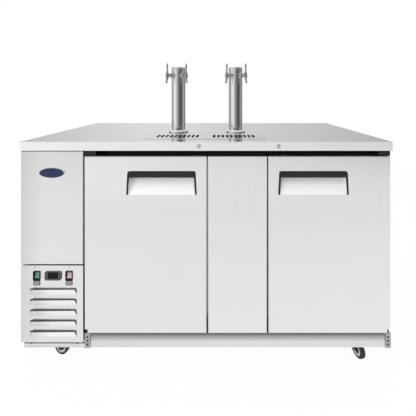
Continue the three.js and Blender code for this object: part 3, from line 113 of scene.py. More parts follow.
def measured(nodes, links, value, start, end):
    """A node that turns the stretch from start to end into 0 to 1."""
    change = nodes.new("ShaderNodeMapRange")
    change.inputs["From Min"].default_value = start
    change.inputs["From Max"].default_value = end
    links.new(value, change.inputs["Value"])
    return change


def bearing_of(nodes, links, parts):
    """The compass direction of a view: 0 straight in front, where Y is negative."""
    back = nodes.new("ShaderNodeMath")
    back.operation = "MULTIPLY"
    back.inputs[1].default_value = -1
    links.new(parts.outputs["Y"], back.inputs[0])
    bearing = nodes.new("ShaderNodeMath")
    bearing.operation = "ARCTAN2"
    links.new(parts.outputs["X"], bearing.inputs[0])
    links.new(back.outputs[0], bearing.inputs[1])
    return measured(nodes, links, bearing.outputs[0], -math.pi, math.pi)


def studio_world():
    world = bpy.data.worlds.new("white_studio")
    world.use_nodes = True
    nodes, links = world.node_tree.nodes, world.node_tree.links
    nodes.clear()
    toward = nodes.new("ShaderNodeTexCoord")
    parts = nodes.new("ShaderNodeSeparateXYZ")
    links.new(toward.outputs["Generated"], parts.inputs[0])
    # the middle of this strip is straight in front, and its ends meet behind the cooler
    bands = ramp_between(nodes, [
        (0.0, 0.74), (0.03, 0.83), (0.05, 0.82), (0.08, 0.73), (0.13, 0.5), (0.17, 0.36),
        (0.21, 0.37), (0.25, 0.42), (0.285, 0.75), (0.32, 0.93), (0.37, 0.93), (0.41, 0.76),
        (0.445, 0.55), (0.49, 0.32), (0.54, 0.19), (0.59, 0.11), (0.635, 0.065), (0.68, 0.13),
        (0.735, 0.37), (0.79, 0.26), (0.86, 0.22), (0.90, 0.5), (0.915, 0.57), (0.95, 0.66),
        (1.0, 0.74),
    ], "bands round the horizon")
    links.new(bearing_of(nodes, links, parts).outputs["Result"], bands.inputs["Fac"])
    height = ramp_between(nodes, [
        (0.0, 1.0), (0.4, 1.0), (0.42, 0.0), (0.58, 0.0), (0.66, 0.2), (0.8, 1.0), (1.0, 1.0),
    ], "white share from straight down to straight up")
    links.new(measured(nodes, links, parts.outputs["Z"], -1, 1).outputs["Result"], height.inputs["Fac"])
    blend = nodes.new("ShaderNodeMix")
    blend.data_type = "RGBA"
    links.new(height.outputs["Color"], blend.inputs["Factor"])
    links.new(bands.outputs["Color"], blend.inputs["A"])
    blend.inputs["B"].default_value = (0.97, 0.97, 0.97, 1)
    room = nodes.new("ShaderNodeBackground")
    links.new(blend.outputs["Result"], room.inputs["Color"])
    paper = nodes.new("ShaderNodeBackground")
    paper.inputs["Color"].default_value = (1, 1, 1, 1)
    path = nodes.new("ShaderNodeLightPath")
    choose = nodes.new("ShaderNodeMixShader")
    links.new(path.outputs["Is Camera Ray"], choose.inputs["Fac"])
    links.new(room.outputs[0], choose.inputs[1])
    links.new(paper.outputs[0], choose.inputs[2])
    out = nodes.new("ShaderNodeOutputWorld")
    links.new(choose.outputs[0], out.inputs["Surface"])
    bpy.context.scene.world = world


studio_world()
bpy.context.scene.view_settings.view_transform = "Standard"
print("world", bpy.context.scene.world.name, "with", len(bpy.context.scene.world.node_tree.nodes), "nodes")

# %% [markdown]
# Two large soft lamps add the light that comes from above and from the left. They don't show
# in reflections, because the bands already stand for everything that the chrome mirrors.

# %% Lamps
def softbox(name, place, look_at, size, power):
    lamp = bpy.data.lights.new(name, "AREA")
    lamp.shape = "RECTANGLE"
    lamp.size, lamp.size_y = size
    lamp.energy = power
    box = bpy.data.objects.new(name, lamp)
    bpy.context.scene.collection.objects.link(box)
    box.location = place
    box.rotation_euler = (Vector(look_at) - Vector(place)).to_track_quat("-Z", "Y").to_euler()
    box.visible_glossy = False


softbox("overhead_softbox", (-0.6, -1.2, 4.2), (0, 0, 0.6), size=(3.5, 2.5), power=60)
softbox("low_left_softbox", (-3.2, -3.0, 1.6), (0, 0, 0.5), size=(2.0, 2.4), power=25)
print("two softboxes and a white room")

# %% [markdown]
# ## Floor
# A plain pale floor. To the camera and in reflections it is nearly as white as the background,
# but part of it still answers to light, so the shadow under the machine stays.

# %% Floor
def floor_paper():
    paper = bpy.data.materials.new("floor_paper")
    paper.use_nodes = True
    nodes, links = paper.node_tree.nodes, paper.node_tree.links
    body = nodes["Principled BSDF"]
    body.inputs["Base Color"].default_value = (0.92, 0.92, 0.92, 1)
    body.inputs["Roughness"].default_value = 0.9
    glow = nodes.new("ShaderNodeEmission")
    glow.inputs["Strength"].default_value = 1.0
    glow.inputs["Color"].default_value = (1, 1, 1, 1)
    path = nodes.new("ShaderNodeLightPath")
    either = nodes.new("ShaderNodeMath")
    either.operation = "MAXIMUM"
    links.new(path.outputs["Is Camera Ray"], either.inputs[0])
    links.new(path.outputs["Is Glossy Ray"], either.inputs[1])
    share = nodes.new("ShaderNodeMath")
    share.operation = "MULTIPLY"
    share.inputs[1].default_value = 0.95
    links.new(either.outputs[0], share.inputs[0])
    mix = nodes.new("ShaderNodeMixShader")
    links.new(share.outputs[0], mix.inputs["Fac"])
    links.new(body.outputs[0], mix.inputs[1])
    links.new(glow.outputs[0], mix.inputs[2])
    links.new(mix.outputs[0], nodes["Material Output"].inputs["Surface"])
    return paper


reach = 3.4
floor_mesh = bpy.data.meshes.new("floor")
floor_corners = [(-reach, -reach, 0), (reach, -reach, 0), (reach, reach, 0), (-reach, reach, 0)]
floor_mesh.from_pydata(floor_corners, [], [(0, 1, 2, 3)])
floor_mesh.materials.append(floor_paper())
floor = bpy.data.objects.new("floor", floor_mesh)
bpy.context.scene.collection.objects.link(floor)
print("floor", 2 * reach, "m square")

# %% [markdown]
# ## Finishes
# Every finish is a node material. Brushed steel gets its look from long fine scratches in one
# direction: a noise texture that is stretched along the grain changes the roughness a little
# and tilts the surface a little. A second, broad noise gives the faint cloudiness of a wiped
# sheet. The texture follows object coordinates, so it has its real size on every piece.

# %% Brushed steel
def plain_finish(name):
    made = bpy.data.materials.new(name)
    made.use_nodes = True
    return made, made.node_tree.nodes, made.node_tree.links, made.node_tree.nodes["Principled BSDF"]


def stretched_noise(nodes, links, stretch, detail=6.0):
    where = nodes.new("ShaderNodeTexCoord")
    mapping = nodes.new("ShaderNodeMapping")
    mapping.inputs["Scale"].default_value = stretch
    links.new(where.outputs["Object"], mapping.inputs["Vector"])
    noise = nodes.new("ShaderNodeTexNoise")
    noise.inputs["Scale"].default_value = 1.0
    noise.inputs["Detail"].default_value = detail
    links.new(mapping.outputs["Vector"], noise.inputs["Vector"])
    return noise.outputs["Fac"]


def roughened(nodes, links, noise, rough, body):
    """Roughness between two values; most of a noise lies between 0.3 and 0.7."""
    change = measured(nodes, links, noise, 0.3, 0.7)
    change.inputs["To Min"].default_value, change.inputs["To Max"].default_value = rough
    links.new(change.outputs["Result"], body.inputs["Roughness"])


def tinted(nodes, links, noise, dark, light, body):
    colours = nodes.new("ShaderNodeMix")
    colours.data_type = "RGBA"
    colours.inputs["A"].default_value = (*dark, 1)
    colours.inputs["B"].default_value = (*light, 1)
    links.new(noise, colours.inputs["Factor"])
    links.new(colours.outputs["Result"], body.inputs["Base Color"])


def bumped(nodes, links, noise, body, strength, distance):
    bump = nodes.new("ShaderNodeBump")
    bump.inputs["Strength"].default_value = strength
    bump.inputs["Distance"].default_value = distance
    links.new(noise, bump.inputs["Height"])
    links.new(bump.outputs["Normal"], body.inputs["Normal"])


def brushed(name, tone, grain, rough=(0.26, 0.38), metallic=1.0):
    made, nodes, links, body = plain_finish(name)
    body.inputs["Metallic"].default_value = metallic
    scratches = stretched_noise(nodes, links, grain)
    clouds = stretched_noise(nodes, links, (2.2, 2.2, 2.2), detail=2.0)
    dark, light = [c * 0.965 for c in tone], [min(1.0, c * 1.015) for c in tone]
    tinted(nodes, links, clouds, dark, light, body)
    roughened(nodes, links, scratches, rough, body)
    bumped(nodes, links, scratches, body, strength=0.05, distance=0.0004)
    return made


along_x, along_z, crossed = (3, 900, 900), (900, 900, 3), (14, 14, 14)
door_steel = brushed("door_steel_upright_grain", (0.825, 0.825, 0.82), along_z)
panel_steel = brushed("panel_steel_upright_grain", (0.815, 0.815, 0.81), along_z)
rail_steel = brushed("rail_steel_level_grain", (0.76, 0.76, 0.755), along_x)
kick_steel = brushed("kick_rail_shaded_steel", (0.75, 0.75, 0.745), along_x)
# painted light: the flaps are the panel's own steel, given a much lighter copy that is also darkened to the
# left below
flap_painted_light_steel = brushed("louvre_flap_painted_light_steel", (0.97, 0.97, 0.96), along_x)
counter_steel = brushed("counter_steel_level_grain", (0.745, 0.75, 0.75), along_x, (0.1, 0.2))
# painted light: a lighter, less metallic copy of the counter steel for the worktop's turned-down edge
fascia_painted_light_steel = brushed("fascia_painted_light_steel_level_grain", (0.86, 0.86, 0.855), along_x, metallic=0.35)
lining_steel = brushed("lining_steel", (0.62, 0.63, 0.63), along_z, (0.32, 0.45))
back_steel = brushed("galvanised_back_steel", (0.5, 0.52, 0.53), crossed, (0.35, 0.55))
bracket_steel = brushed("hinge_bracket_steel", (0.42, 0.42, 0.41), along_z, (0.28, 0.4))
pan_steel = brushed("drip_pan_shaded_steel", (0.76, 0.765, 0.765), along_x)
# painted light: the scoop is the door's own pressed sheet, given a near-white, nearly dull copy of its steel
# so that it reads bright
scoop_painted_light_satin = brushed("scoop_painted_light_satin_steel", (0.985, 0.985, 0.98), along_x, (0.42, 0.5), metallic=0.1)
fin_aluminium = brushed("fin_aluminium", (0.6, 0.6, 0.59), along_z, (0.35, 0.5))
print("brushed metals", len(bpy.data.materials) - 1)

# %% [markdown]
# Chrome is nearly a mirror. A trace of large soft noise in its roughness stands for the wiping
# marks, and keeps its highlights from looking computed. Moulded plastic has a fine leathery
# grain that breaks up its highlight, and rubber is rougher still, with dust that makes it grey.
# Enamel is a smooth coat over a colour, with the faint ripple of sprayed paint.

# %% Chrome, plastics, rubber and paint
def polished(name, tone, rough=(0.035, 0.08)):
    made, nodes, links, body = plain_finish(name)
    body.inputs["Metallic"].default_value = 1.0
    wipes = stretched_noise(nodes, links, (18, 18, 9), detail=3.0)
    tinted(nodes, links, wipes, [c * 0.97 for c in tone], tone, body)
    roughened(nodes, links, wipes, rough, body)
    return made


def moulded(name, tone, rough, grain, strength=0.12, shine=0.5):
    made, nodes, links, body = plain_finish(name)
    body.inputs["Specular IOR Level"].default_value = shine
    pebbles = stretched_noise(nodes, links, (grain, grain, grain), detail=3.0)
    dust = stretched_noise(nodes, links, (9, 9, 9), detail=4.0)
    tinted(nodes, links, dust, tone, [min(1.0, c * 1.18 + 0.004) for c in tone], body)
    roughened(nodes, links, pebbles, rough, body)
    bumped(nodes, links, pebbles, body, strength, distance=0.0003)
    return made


def coated(name, tone, rough, coat=0.4):
    made, nodes, links, body = plain_finish(name)
    body.inputs["Specular IOR Level"].default_value = 0.3
    body.inputs["Coat Weight"].default_value = coat
    body.inputs["Coat Roughness"].default_value = 0.12
    peel = stretched_noise(nodes, links, (260, 260, 260), detail=2.0)
    tinted(nodes, links, peel, [c * 0.9 for c in tone], tone, body)
    roughened(nodes, links, peel, rough, body)
    bumped(nodes, links, peel, body, strength=0.06, distance=0.0005)
    return made


tower_chrome = polished("tower_chrome", (0.86, 0.865, 0.87), (0.02, 0.05))
faucet_chrome = polished("faucet_chrome", (0.44, 0.445, 0.45), (0.1, 0.16))
lock_chrome = polished("lock_chrome", (0.72, 0.72, 0.72), (0.15, 0.25))
screw_steel = polished("screw_steel", (0.42, 0.42, 0.42), (0.22, 0.35))
handle_black = moulded("handle_black_plastic", (0.018, 0.018, 0.02), (0.45, 0.6), 1400, shine=0.2)
switch_black = moulded("switch_black_plastic", (0.012, 0.012, 0.013), (0.4, 0.5), 2200, shine=0.25)
bezel_grey = moulded("thermostat_grey_plastic", (0.075, 0.084, 0.08), (0.45, 0.55), 2200, shine=0.25)
label_grey = moulded("label_plate_grey", (0.26, 0.265, 0.26), (0.45, 0.6), 900, strength=0.05, shine=0.25)
display_black = moulded("display_window_black", (0.006, 0.006, 0.007), (0.2, 0.3), 900, 0.02, shine=0.08)
tyre_rubber = moulded("tyre_rubber", (0.016, 0.016, 0.016), (0.6, 0.8), 1800, strength=0.2)
rim_grey = moulded("wheel_rim_light_grey", (0.62, 0.63, 0.62), (0.4, 0.5), 1200, strength=0.05)
filter_grey = moulded("filter_mat_grey", (0.24, 0.24, 0.235), (0.8, 0.9), 420, strength=0.5)
gasket_vinyl = moulded("gasket_vinyl", (0.05, 0.05, 0.052), (0.5, 0.65), 700, strength=0.05)
dark_header = moulded("dark_hinge_steel", (0.02, 0.02, 0.02), (0.5, 0.6), 500, strength=0.05, shine=0.15)
fan_black = moulded("fan_black_plastic", (0.02, 0.02, 0.021), (0.35, 0.45), 1400)
green_lens = coated("green_rocker_lens", (0.11, 0.34, 0.24), (0.12, 0.22), coat=0.8)
rose_lens = coated("rose_rocker_lens", (0.75, 0.56, 0.53), (0.12, 0.22), coat=0.8)
badge_blue = coated("badge_navy_enamel", (0.014, 0.021, 0.085), (0.22, 0.34), coat=0.1)
fork_black = coated("caster_fork_black_enamel", (0.02, 0.02, 0.021), (0.3, 0.45))
compressor_black = coated("compressor_black_enamel", (0.014, 0.014, 0.015), (0.3, 0.45))
print(len(bpy.data.materials), "materials in all")

# %% [markdown]
# In the photograph the light falls off towards some edges: the left end of the bay's panels is
# darker, the kick rail is dark below, and the doors brighten to their tops. A lamp that did
# only this would also change everything beside it. It is simpler to let the finish itself
# follow the place: its colour is multiplied by a share that runs to 1 along X or Z.

# %% Finishes that change with the place
def graded(made, axis, start, end, share):
    """Paints light or shade into a finish: multiplies its colour by a share at the start of a stretch, and by
    1 at its end.
    """
    nodes, links = made.node_tree.nodes, made.node_tree.links
    colour = nodes["Principled BSDF"].inputs["Base Color"]
    where = nodes.new("ShaderNodeTexCoord")
    parts = nodes.new("ShaderNodeSeparateXYZ")
    links.new(where.outputs["Object"], parts.inputs[0])
    rise = measured(nodes, links, parts.outputs[axis], start, end)
    rise.inputs["To Min"].default_value = share
    shade = nodes.new("ShaderNodeMix")
    shade.data_type = "RGBA"
    shade.blend_type = "MULTIPLY"
    shade.inputs["Factor"].default_value = 1
    links.new(colour.links[0].from_socket, shade.inputs["A"])
    links.new(rise.outputs["Result"], shade.inputs["B"])
    links.new(shade.outputs["Result"], colour)


# painted light and shade: the doors and centre post lighter towards their tops, the kick rail darker towards
# its top under the doors, the drip pan darker inside below its rim, and the bay's panel, the louvre flaps and
# the filter mat darker towards their left ends
graded(door_steel, "Z", start=1.0, end=0.74, share=1.13)
graded(kick_steel, "Z", start=0.152, end=0.109, share=0.1)
graded(pan_steel, "Z", start=1.066, end=1.0695, share=0.25)
graded(panel_steel, "X", start=-0.888, end=-0.77, share=0.84)
graded(flap_painted_light_steel, "X", start=-0.85, end=-0.74, share=0.62)
graded(filter_grey, "X", start=-0.86, end=-0.77, share=0.4)
print("six finishes follow the place")

# %% [markdown]
# ## A small bench of mesh tools
# A drawn outline is a list of corners, and each corner can have its own radius. Its arc is
# drawn as a curve with a weighted middle, because that needs no centre. An outline can also be
# moved in by a distance, which is how a rounded rim gets its rows of points.

# %% Outlines
def rounded(corners, steps=5):
    """Corners are (u, v, radius); each becomes a short arc."""
    most = 0.49  # of an edge, so that two arcs on it never meet
    drawn = []
    for index, (u, v, radius) in enumerate(corners):
        here = Vector((u, v))
        before = Vector(corners[index - 1][:2]) - here
        after = Vector(corners[(index + 1) % len(corners)][:2]) - here
        if radius <= 0:
            drawn.append(here)
            continue
        reach = min(radius / math.tan(before.angle(after) / 2), before.length * most, after.length * most)
        start, end = here + before.normalized() * reach, here + after.normalized() * reach
        weight = math.cos((math.pi - before.angle(after)) / 2)
        for step in range(steps + 1):
            t = step / steps
            total = (1 - t) ** 2 + 2 * weight * t * (1 - t) + t * t
            drawn.append((start * (1 - t) ** 2 + here * 2 * weight * t * (1 - t) + end * t * t) / total)
    return drawn


def area_of(outline):
    return sum(a.x * b.y - b.x * a.y for a, b in zip(outline, outline[1:] + outline[:1])) / 2


def moved_in(outline, by):
    """The same outline, with every edge moved inwards."""
    sign = 1 if area_of(outline) > 0 else -1
    made = []
    for index, here in enumerate(outline):
        to = (here - outline[index - 1]).normalized()
        fro = (outline[(index + 1) % len(outline)] - here).normalized()
        normal = Vector((-(to.y + fro.y), to.x + fro.x)) * sign
        if normal.length < 1e-9:
            normal = Vector((-to.y, to.x)) * sign
        normal.normalize()
        slant = max(0.3, normal.dot(Vector((-to.y, to.x)) * sign))
        made.append(here + normal * (by / slant))
    return made


def rectangle(left, right, bottom, top, radius=0.0):
    corners = [(left, bottom), (right, bottom), (right, top), (left, top)]
    return rounded([(u, v, radius) for u, v in corners])


def oval(u, v, half_width, half_height, steps=64):
    turns = [2 * math.pi * step / steps for step in range(steps)]
    return [Vector((u + half_width * math.cos(t), v + half_height * math.sin(t))) for t in turns]


print("a rounded rectangle has", len(rectangle(0, 2, 0, 1, radius=0.1)), "points")

# %% [markdown]
# The `on_` functions put an outline's two numbers and a depth into space: on the front of the
# machine, on its top, or on its side. `skin` stretches faces between rows of points, and `cap`
# closes a row, also where other rows make holes in it. With these, a folded sheet or a lens is
# drawn row by row, so that its rounded edges are part of the mesh and catch the light.

# %% Rows, skins and caps
def on_front(u, v, depth):
    return (u, depth, v)


def on_top(u, v, depth):
    return (u, v, depth)


def on_side(u, v, depth):
    return (depth, u, v)


def joined(bm, near, far, closed=True, material=0):
    for i in range(len(near) if closed else len(near) - 1):
        j = (i + 1) % len(near)
        bm.faces.new((near[i], near[j], far[j], far[i])).material_index = material


def skin(bm, rows, closed=True, material=0):
    made = [[bm.verts.new(point) for point in row] for row in rows]
    for near, far in zip(made, made[1:]):
        joined(bm, near, far, closed, material)
    return made


def cap(bm, *rows):
    edges = []
    for row in rows:
        for a, b in zip(row, row[1:] + row[:1]):
            edges.append(bm.edges.get((a, b)) or bm.edges.new((a, b)))
    bmesh.ops.triangle_fill(bm, use_beauty=True, use_dissolve=False, edges=edges)


def capped_skin(bm, rows):
    made = skin(bm, rows)
    cap(bm, made[0])
    cap(bm, made[-1])


def edge_rows(outline, place, face, away, edge, hole=False, steps=3):
    """Rows that turn a face's rim over a rounded edge. away is 1 or -1: where the sides go."""
    rows = []
    for step in range(steps + 1):
        angle = math.pi / 2 * step / steps
        inward = edge * (1 - math.sin(angle)) * (-1 if hole else 1)
        depth = face + away * edge * (1 - math.cos(angle))
        rows.append([place(p.x, p.y, depth) for p in moved_in(outline, inward)])
    return rows


print("a rounded edge takes", len(edge_rows(oval(0, 0, 2, 1), on_top, 0, 1, 0.1)), "rows")

# %% [markdown]
# `finished` turns what was built into a piece: it gives it a finish, smooths what is meant to
# be smooth, puts it on its body and hides the plain solid that it stands for. The modifier
# keeps large faces flat, so that a rounded rim doesn't shade the whole sheet.

# %% From a mesh to a piece
def large_faces_stay_flat(piece):
    flat = piece.modifiers.new("large_faces_stay_flat", "WEIGHTED_NORMAL")
    flat.keep_sharp = True
    flat.weight = 80


def finished(name, bm, finish, body, stands_for=(), crease=32):
    bmesh.ops.recalc_face_normals(bm, faces=bm.faces)
    mesh = bpy.data.meshes.new(name)
    bm.to_mesh(mesh)
    bm.free()
    mesh.materials.append(finish)
    mesh.shade_smooth()
    mesh.set_sharp_from_angle(angle=math.radians(crease))
    piece = bpy.data.objects.new(name, mesh)
    large_faces_stay_flat(piece)
    bpy.context.scene.collection.objects.link(piece)
    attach(piece, body)
    if stands_for:
        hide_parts(*stands_for)
    return piece


def middle_of(node):
    low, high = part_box(node)
    return [(a + b) / 2 for a, b in zip(low, high)]


hands = ("left", "right")
tower_places = {}
for hand in hands:
    x, y, _ = middle_of(f"tower_column_{hand}")
    tower_places[hand] = (x, y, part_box(f"tower_column_{hand}")[0].z)
print("towers stand at", tower_places)

# %% [markdown]
# ## Countertop
# One sheet, folded down on all sides with a small radius, polished more than the doors, so the
# towers mirror in it. It has an opening for the drip tray and a hole under each tower. Its
# turned-down edge faces the room and not the towers. It gets a lighter, less metallic copy of
# the same steel: painted light, which keeps it evenly bright.

# %% Countertop
def pressed_pan_into(bm, outline, holes, place, face, back, sheet, edge):
    """A folded panel: a face with turned-back sides, open behind. Its holes go through the face."""
    away = 1 if back > face else -1
    rows = edge_rows(outline, place, face, away, edge)
    rows.append([place(p.x, p.y, back) for p in outline])
    inner = moved_in(outline, sheet)
    rows.append([place(p.x, p.y, back) for p in inner])
    rows.append([place(p.x, p.y, face + away * sheet) for p in inner])
    made = skin(bm, rows)
    fronts, backs = [made[0]], [made[-1]]
    for hole in holes:
        rim = edge_rows(hole, place, face, away, min(edge, sheet / 3), hole=True, steps=2)
        rim.append([place(p.x, p.y, face + away * sheet) for p in hole])
        made_rim = skin(bm, rim)
        fronts.append(made_rim[0])
        backs.append(made_rim[-1])
    cap(bm, *fronts)
    cap(bm, *backs)


low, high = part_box("countertop")
pan_low, pan_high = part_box("drip_pan")
pan_lip, line_hole = 0.0075, 0.03
tray_left, tray_right = pan_low.x + pan_lip, pan_high.x - pan_lip
holes = [rectangle(tray_left, tray_right, pan_low.y + pan_lip, pan_high.y - pan_lip, radius=0.002)]
holes += [oval(x, y, line_hole, line_hole, steps=32) for x, y, _ in tower_places.values()]
bm = bmesh.new()
rim = rectangle(low.x, high.x, low.y, high.y, radius=0.0025)
pressed_pan_into(bm, rim, holes, on_top, high.z, low.z, sheet=0.0018, edge=0.0022)
worktop = finished("worktop_folded_sheet", bm, counter_steel, "cooler", ["countertop"])
# the turned-down edge gets the lighter copy: painted light
worktop.data.materials.append(fascia_painted_light_steel)
for face in worktop.data.polygons:
    if abs(face.normal.z) < 0.5:
        face.material_index = 1
print("worktop", round(high.x - low.x, 3), "by", round(high.y - low.y, 3), "m at", round(high.z, 3), "m")

# %% [markdown]
# ## Doors
# A door is a foamed slab in a folded skin. Its finger pocket is pressed into the front: a
# scoop that starts level with the face at the bottom and gets deeper to the bar. The skin and
# the scoop are drawn as one mesh, with the scoop as a fine grid of points whose depth follows a
# curve, because a boolean cut would leave hard edges where the real sheet is drawn smooth.

# %% Door skins
door_crease = 28


def front_of(low, high, radius=0.0, inset=0.0):
    return rectangle(low.x + inset, high.x - inset, low.z + inset, high.z - inset, radius)


def eased(t):
    t = min(1.0, max(0.0, t))
    return t * t * (3 - 2 * t)


def scoop_depth(rise):
    """How deep the scoop is, from 0 at its lower edge to 1 under the bar."""
    t = min(1.0, rise / 0.78)
    return 1 - (1 - t) ** 1.12


def border_of(grid):
    """The rim of a grid of points, once round."""
    return grid[0] + [row[-1] for row in grid[1:]] + grid[-1][-2::-1] + [row[0] for row in grid[-2:0:-1]]


def scoop_grid(centre_x, face_y, bottom, top):
    """Rows of points, close together where the scoop's walls turn and wide apart between."""
    half_bottom, half_top = 0.1628, 0.1575
    depth, wall, shoulder, ceiling = 0.0295, 0.0042, 0.007, 0.006
    near = [0, 0.0006, 0.0013, 0.002, 0.0028, 0.0035, wall, shoulder]
    levels = [0, 0.003, 0.006, 0.010, 0.015] + [0.02 + 0.005 * k for k in range(15)]
    levels += [top - bottom - d for d in (0.012, 0.009, 0.006, 0.0045, 0.003, 0.0015, 0)]
    grid = []
    for level in sorted({round(level, 5) for level in levels}):
        share = level / (top - bottom)
        half = half_bottom + (half_top - half_bottom) * share
        middle = [-half + shoulder + 2 * (half - shoulder) * k / 16 for k in range(1, 16)]
        across = [-half + d for d in near] + middle + [half - d for d in reversed(near)]
        deepest = depth * scoop_depth(share) * eased((top - bottom - level) / ceiling)
        grid.append([on_front(centre_x + u, bottom + level, face_y + deepest * eased((half - abs(u)) / wall))
                     for u in across])
    return grid


def door_skin(hand, centre_x):
    low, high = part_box(f"{hand}_door_shell")
    edge, pocket_bottom, pocket_top = 0.0028, 0.182, 0.074
    bm = bmesh.new()
    outline = front_of(low, high, radius=0.0015)
    rows = edge_rows(outline, on_front, low.y, 1, edge)
    rows += edge_rows(outline, on_front, high.y, -1, edge)[::-1]
    made = skin(bm, rows)
    grid = scoop_grid(centre_x, low.y, high.z - pocket_bottom, high.z - pocket_top)
    scoop = skin(bm, grid, closed=False, material=1)
    cap(bm, made[0], border_of(scoop))
    cap(bm, made[-1])
    name, solid = f"{hand}_door_skin", f"{hand}_door_shell"
    piece = finished(name, bm, door_steel, f"{hand}_door", [solid], door_crease)
    # the scoop's faces get the lighter copy of the door steel: painted light
    piece.data.materials.append(scoop_painted_light_satin)
    return piece


handle_centres = {hand: middle_of(f"{hand}_door_handle")[0] for hand in hands}
door_skins = {hand: door_skin(hand, handle_centres[hand]) for hand in hands}
print("door skins of", [len(piece.data.polygons) for piece in door_skins.values()], "faces")

# %% [markdown]
# The skin still needs the corner that is cut away for the hinge's collar, and the slot for the
# lock's cam. These are small and square, so here a boolean cut is the right tool: the cutters
# are removed as soon as the cut is baked into the mesh. The modifiers come off first, because
# shading that is baked in before the cut leaves streaks beside it.

# %% Cuts in the doors
def block_into(bm, low, high, edge):
    made = bmesh.ops.create_cube(bm, size=1.0)["verts"]
    for vert in made:
        vert.co = Vector([lo + (c + 0.5) * (hi - lo) for c, lo, hi in zip(vert.co, low, high)])
    if edge > 0:
        edges = list(dict.fromkeys(e for v in made for e in v.link_edges))
        bmesh.ops.bevel(bm, geom=edges, offset=edge, segments=2, affect="EDGES", profile=0.5)


def cutting_block(low, high):
    bm = bmesh.new()
    block_into(bm, low, high, edge=0)
    mesh = bpy.data.meshes.new("cutter")
    bm.to_mesh(mesh)
    bm.free()
    cutter = bpy.data.objects.new("cutter", mesh)
    bpy.context.scene.collection.objects.link(cutter)
    return cutter


def baked_cut(piece, cutters):
    piece.modifiers.clear()
    for cutter in cutters:
        cut = piece.modifiers.new("cut", "BOOLEAN")
        cut.operation, cut.solver, cut.object = "DIFFERENCE", "MANIFOLD", cutter
    bpy.context.view_layer.update()
    seen = piece.evaluated_get(bpy.context.evaluated_depsgraph_get())
    mesh = bpy.data.meshes.new_from_object(seen)
    piece.modifiers.clear()
    old, piece.data = piece.data, mesh
    large_faces_stay_flat(piece)
    bpy.data.meshes.remove(old)
    for cutter in cutters:
        bpy.data.objects.remove(cutter)
    piece.data.shade_smooth()
    piece.data.set_sharp_from_angle(angle=math.radians(door_crease))


def lock_axis(hand, side):
    low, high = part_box(f"lock_{hand}")
    return high.x - lock_radius if side > 0 else low.x + lock_radius


hinge_sides = {"left": 1, "right": -1}  # 1 where the hinge is at the door's left edge
overrun, lock_radius = 0.01, 0.0095
notch_width, notch_height = 0.0167, 0.0187
slot_sweep, slot_spare, slot_front, slot_back, slot_bite = 0.046, 0.0085, 0.0085, 0.0145, 0.013
for hand, side in hinge_sides.items():
    low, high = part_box(f"{hand}_door_shell")
    hinge_x = low.x if side > 0 else high.x
    near, far = sorted((hinge_x - overrun * side, hinge_x + notch_width * side))
    notch = cutting_block((near, low.y - overrun, low.z - overrun),
                          (far, low.y + notch_width, low.z + notch_height))
    lock_x = lock_axis(hand, side)
    near, far = sorted((lock_x - slot_sweep * side, lock_x + slot_spare * side))
    slot = cutting_block((near, low.y + slot_front, high.z - slot_bite),
                         (far, low.y + slot_back, high.z + overrun))
    baked_cut(door_skins[hand], [notch, slot])
    print(hand, "door skin", len(door_skins[hand].data.polygons), "faces")

# %% [markdown]
# ## Handle trims
# A black moulding frames the pocket: a bar across the top and two legs that splay out and end
# in round tips. The lower third of the bar turns inwards, which makes the darker band there.

# %% Handle trims
def plate_into(bm, outline, holes, place, face, back, edge):
    """A plate between two depths with rounded rims on its face and square ones on its back."""
    away = 1 if back > face else -1
    fronts, backs = [], []
    for border, is_hole in [(outline, False)] + [(hole, True) for hole in holes]:
        rows = edge_rows(border, place, face, away, edge, is_hole)
        rows.append([place(p.x, p.y, back) for p in border])
        made = skin(bm, rows)
        fronts.append(made[0])
        backs.append(made[-1])
    cap(bm, *fronts)
    cap(bm, *backs)


def handle_trim(hand):
    low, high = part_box(f"{hand}_door_handle")
    x, top, bottom = handle_centres[hand], high.z, low.z
    half_top, half_bottom, leg_top, leg_bottom = 0.1615, 0.167, 0.010, 0.008
    under, bar_foot = top - 0.021, top - 0.031
    face, back = low.y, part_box(f"{hand}_door_shell")[0].y - 0.0002

    def half_at(z):
        return half_top + (half_bottom - half_top) * (top - z) / (top - bottom)

    leg = half_at(under) - leg_top
    outline = rounded([
        (x - half_bottom, bottom, 0.004), (x - half_bottom + leg_bottom, bottom, 0.004),
        (x - leg, under, 0.003), (x + leg, under, 0.003),
        (x + half_bottom - leg_bottom, bottom, 0.004), (x + half_bottom, bottom, 0.004),
        (x + half_top, top, 0.0105), (x - half_top, top, 0.0105),
    ], steps=6)
    bm = bmesh.new()
    plate_into(bm, outline, [], on_front, face, back, edge=0.0013)
    section = rounded([
        (face + 0.0004, under + 0.002, 0.001), (face + 0.0002, under, 0.002),
        (face + 0.0035, bar_foot, 0.0015), (high.y, bar_foot, 0.0005), (high.y, bar_foot + 0.0026, 0.0005),
        (face + 0.0075, bar_foot + 0.0028, 0.002), (back, under + 0.002, 0.0003),
    ], steps=4)
    ends, overlap = half_at(bar_foot) - leg_top + 0.002, 0.002
    stations = (-ends, -ends + overlap, ends - overlap, ends)
    capped_skin(bm, [[on_side(p.x, p.y, x + reach) for p in section] for reach in stations])
    name, solid = f"{hand}_handle_trim", f"{hand}_door_handle"
    finished(name, bm, handle_black, f"{hand}_door", [solid])


for hand in hands:
    handle_trim(hand)
print("handle trims round", [round(x, 3) for x in handle_centres.values()])

# %% [markdown]
# ## Gaskets and inner pans
# The magnetic gasket is a hollow vinyl profile with two lips. Its section is swept round the
# rectangle of the door's back, mitred at the corners. Inside it sits the door's inner pan, a
# sheet with a shallow dish.

